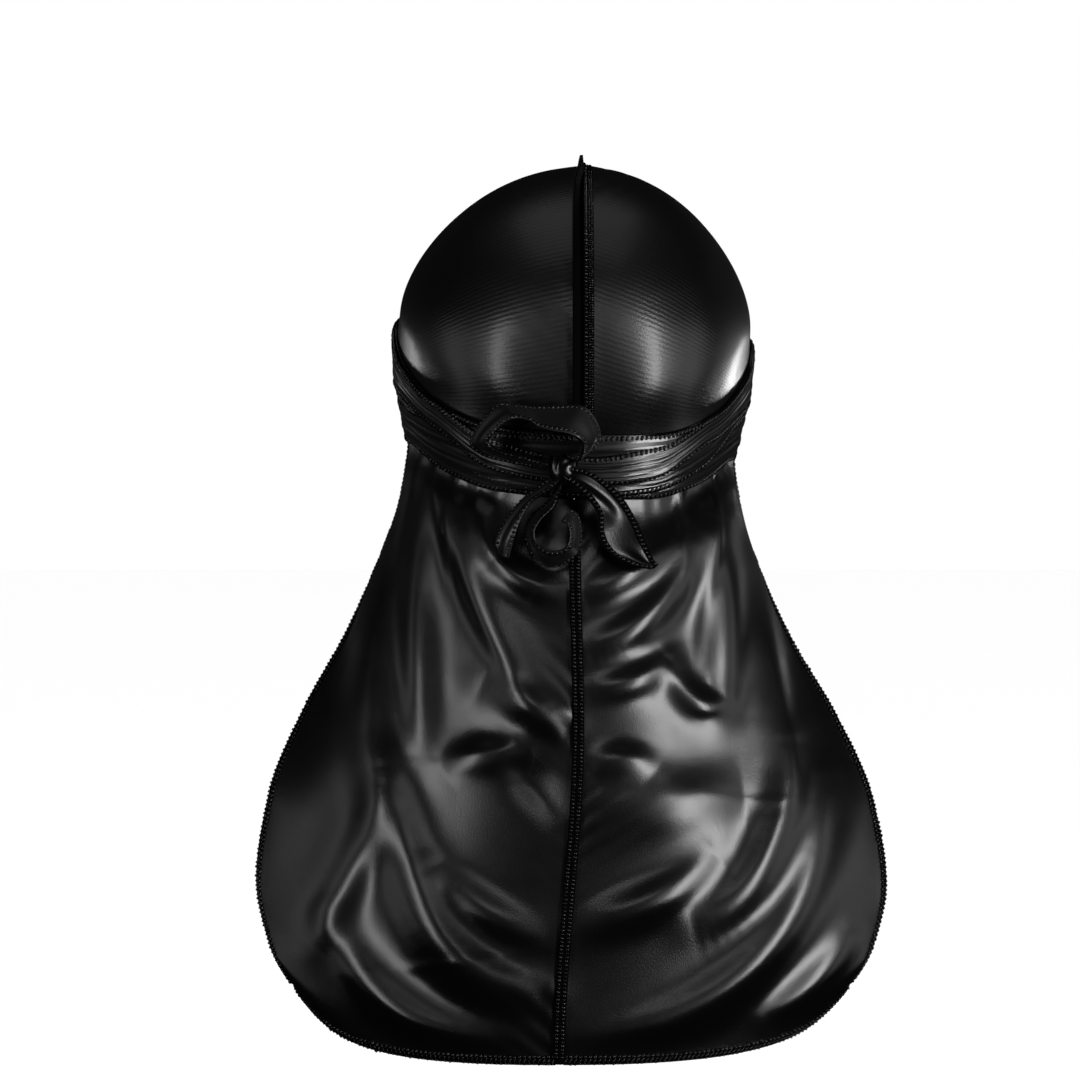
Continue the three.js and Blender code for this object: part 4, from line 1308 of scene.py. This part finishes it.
# near-black and duller than the thread: painted shade between the loops, and on the fin and the ridge
painted_shade_matt = thread_material("near_black_matt_painted_shade", "#020203", 0.8, 0.06)
stitch_rows = [row for rows in sewn_on.values() for row in rows] + seam_rows
for pieces, first, second in (
    (panels.values(), satin_face, satin_back),
    # the fin and the ridge are the panels' satin, painted near-black matt on both faces as shade
    ((fin, ridge), painted_shade_matt, painted_shade_matt),
    (straps.values(), strap_face, satin_back),
    ((*bows.values(), knot), bow_face_painted_darker, satin_back),
    (stitch_rows, thread, painted_shade_matt),
):
    for piece in pieces:
        piece.data.materials.append(first)
        piece.data.materials.append(second)
floor.data.materials.append(pale_paper())
print(len(bpy.data.materials), "materials")

# %% [markdown]
# ## Studio light
# Black satin is lit by what it mirrors, so each highlight is the picture of a lamp, and a lamp's shape
# matters more than its power. Two tall soft boxes stand right and left of the camera, the right one the
# stronger. Smaller ones are linked to one kind of piece each, as a photographer would screen them off:
# the panels get their rims and sides, the band a low box, and the straps' front and the fin two high
# ones. The pale sweep has a light of its own.

# %% Lights
AIM = Vector((0, 0, -0.2))
# azimuth and elevation in degrees, metres away, width and height, watts, and what the box lights.
# azimuth is 0 at the camera and 90 on the right
BOXES = {
    "soft_box_right": (46, 4, 1.7, (0.42, 1.15), 19, "all"),
    "soft_box_left": (-46, 4, 1.7, (0.4, 1.15), 7, "all"),
    "rim_box_right": (138, -2.5, 1.65, (0.25, 0.4), 4.4, "panels"),
    "rim_box_left": (-138, -2.5, 1.65, (0.25, 0.36), 1.3, "panels"),
    "side_box_right": (84, 0, 1.65, (0.4, 1.2), 1.4, "panels"),
    "side_box_left": (-84, 0, 1.65, (0.4, 1.2), 1.1, "panels"),
    "high_box": (0, 30, 2.2, (0.8, 0.35), 1.6, "panels"),
    "top_box": (0, 86, 1.6, (1.4, 1.4), 2, "panels"),
    "low_box": (62, -30, 1.3, (0.6, 0.6), 42, "straps"),
    "front_box_right": (128, 36, 2.0, (0.9, 0.9), 5, "straps_and_fin"),
    "front_box_left": (-128, 36, 2.0, (0.9, 0.9), 5, "straps_and_fin"),
}
SWEEP_POWER = 3.7
SWEEP_ANGLE = np.radians(80)
AMBIENT = 0.006


def lit_group(name, pieces):
    """A collection of the only pieces that a lamp lights."""
    group = bpy.data.collections.new(f"lit_{name}")
    for piece in pieces:
        group.objects.link(piece)
    return group


def soft_box(name, azimuth, elevation, away, size, power):
    """A rectangular lamp that faces the object and stays out of the picture."""
    lamp = bpy.data.lights.new(name, "AREA")
    lamp.shape = "RECTANGLE"
    lamp.size, lamp.size_y = size
    lamp.energy = power
    made = put(name, lamp)
    a, e = np.radians(azimuth), np.radians(elevation)
    way = Vector((np.sin(a) * np.cos(e), -np.cos(a) * np.cos(e), np.sin(e)))
    made.location = AIM + way * away
    made.rotation_euler = way.to_track_quat("Z", "Y").to_euler()
    made.visible_camera = False
    return made


groups = {
    "panels": lit_group("panels", panels.values()),
    "straps": lit_group("straps", straps.values()),
    "straps_and_fin": lit_group("straps_and_fin", (*straps.values(), fin)),
}
for name, (*placed, lights) in BOXES.items():
    box = soft_box(name, *placed)
    if lights in groups:
        box.light_linking.receiver_collection = groups[lights]

sweep = bpy.data.lights.new("floor_light", "SUN")
sweep.energy = SWEEP_POWER
sweep.angle = SWEEP_ANGLE
put("floor_light", sweep).light_linking.receiver_collection = lit_group("floor", [floor])
print(len(BOXES), "soft boxes")

# %% [markdown]
# ### The room
# Only the camera sees the room as white. Everything else gets a trace of light from it, so that the
# deepest folds aren't quite black.

# %% The room
world = bpy.data.worlds.new("studio")
world.use_nodes = True
tree = world.node_tree
tree.nodes.clear()
seen = add_node(tree, "LightPath")
dim = add_node(tree, "Background", {"Color": (1, 1, 1, 1), "Strength": AMBIENT})
pale = add_node(tree, "Background", {"Color": linear("#ffffff"), "Strength": 1.0})
both = add_node(tree, "MixShader", {
    0: seen.outputs["Is Camera Ray"], 1: dim.outputs[0], 2: pale.outputs[0],
})
add_node(tree, "OutputWorld", {"Surface": both.outputs[0]})
bpy.context.scene.world = world
bpy.context.scene.view_settings.view_transform = "Standard"
print("the room gives", AMBIENT, "of its white")

# %% [markdown]
# The panels, the straps and the bow's ribbons are counted as sheets. The band pulls the panels and
# straps taut. The bow's ribbons are gathered in the knot.

# %% Sheets
print(len(panels) + len(straps) + len(bows), "sheets")
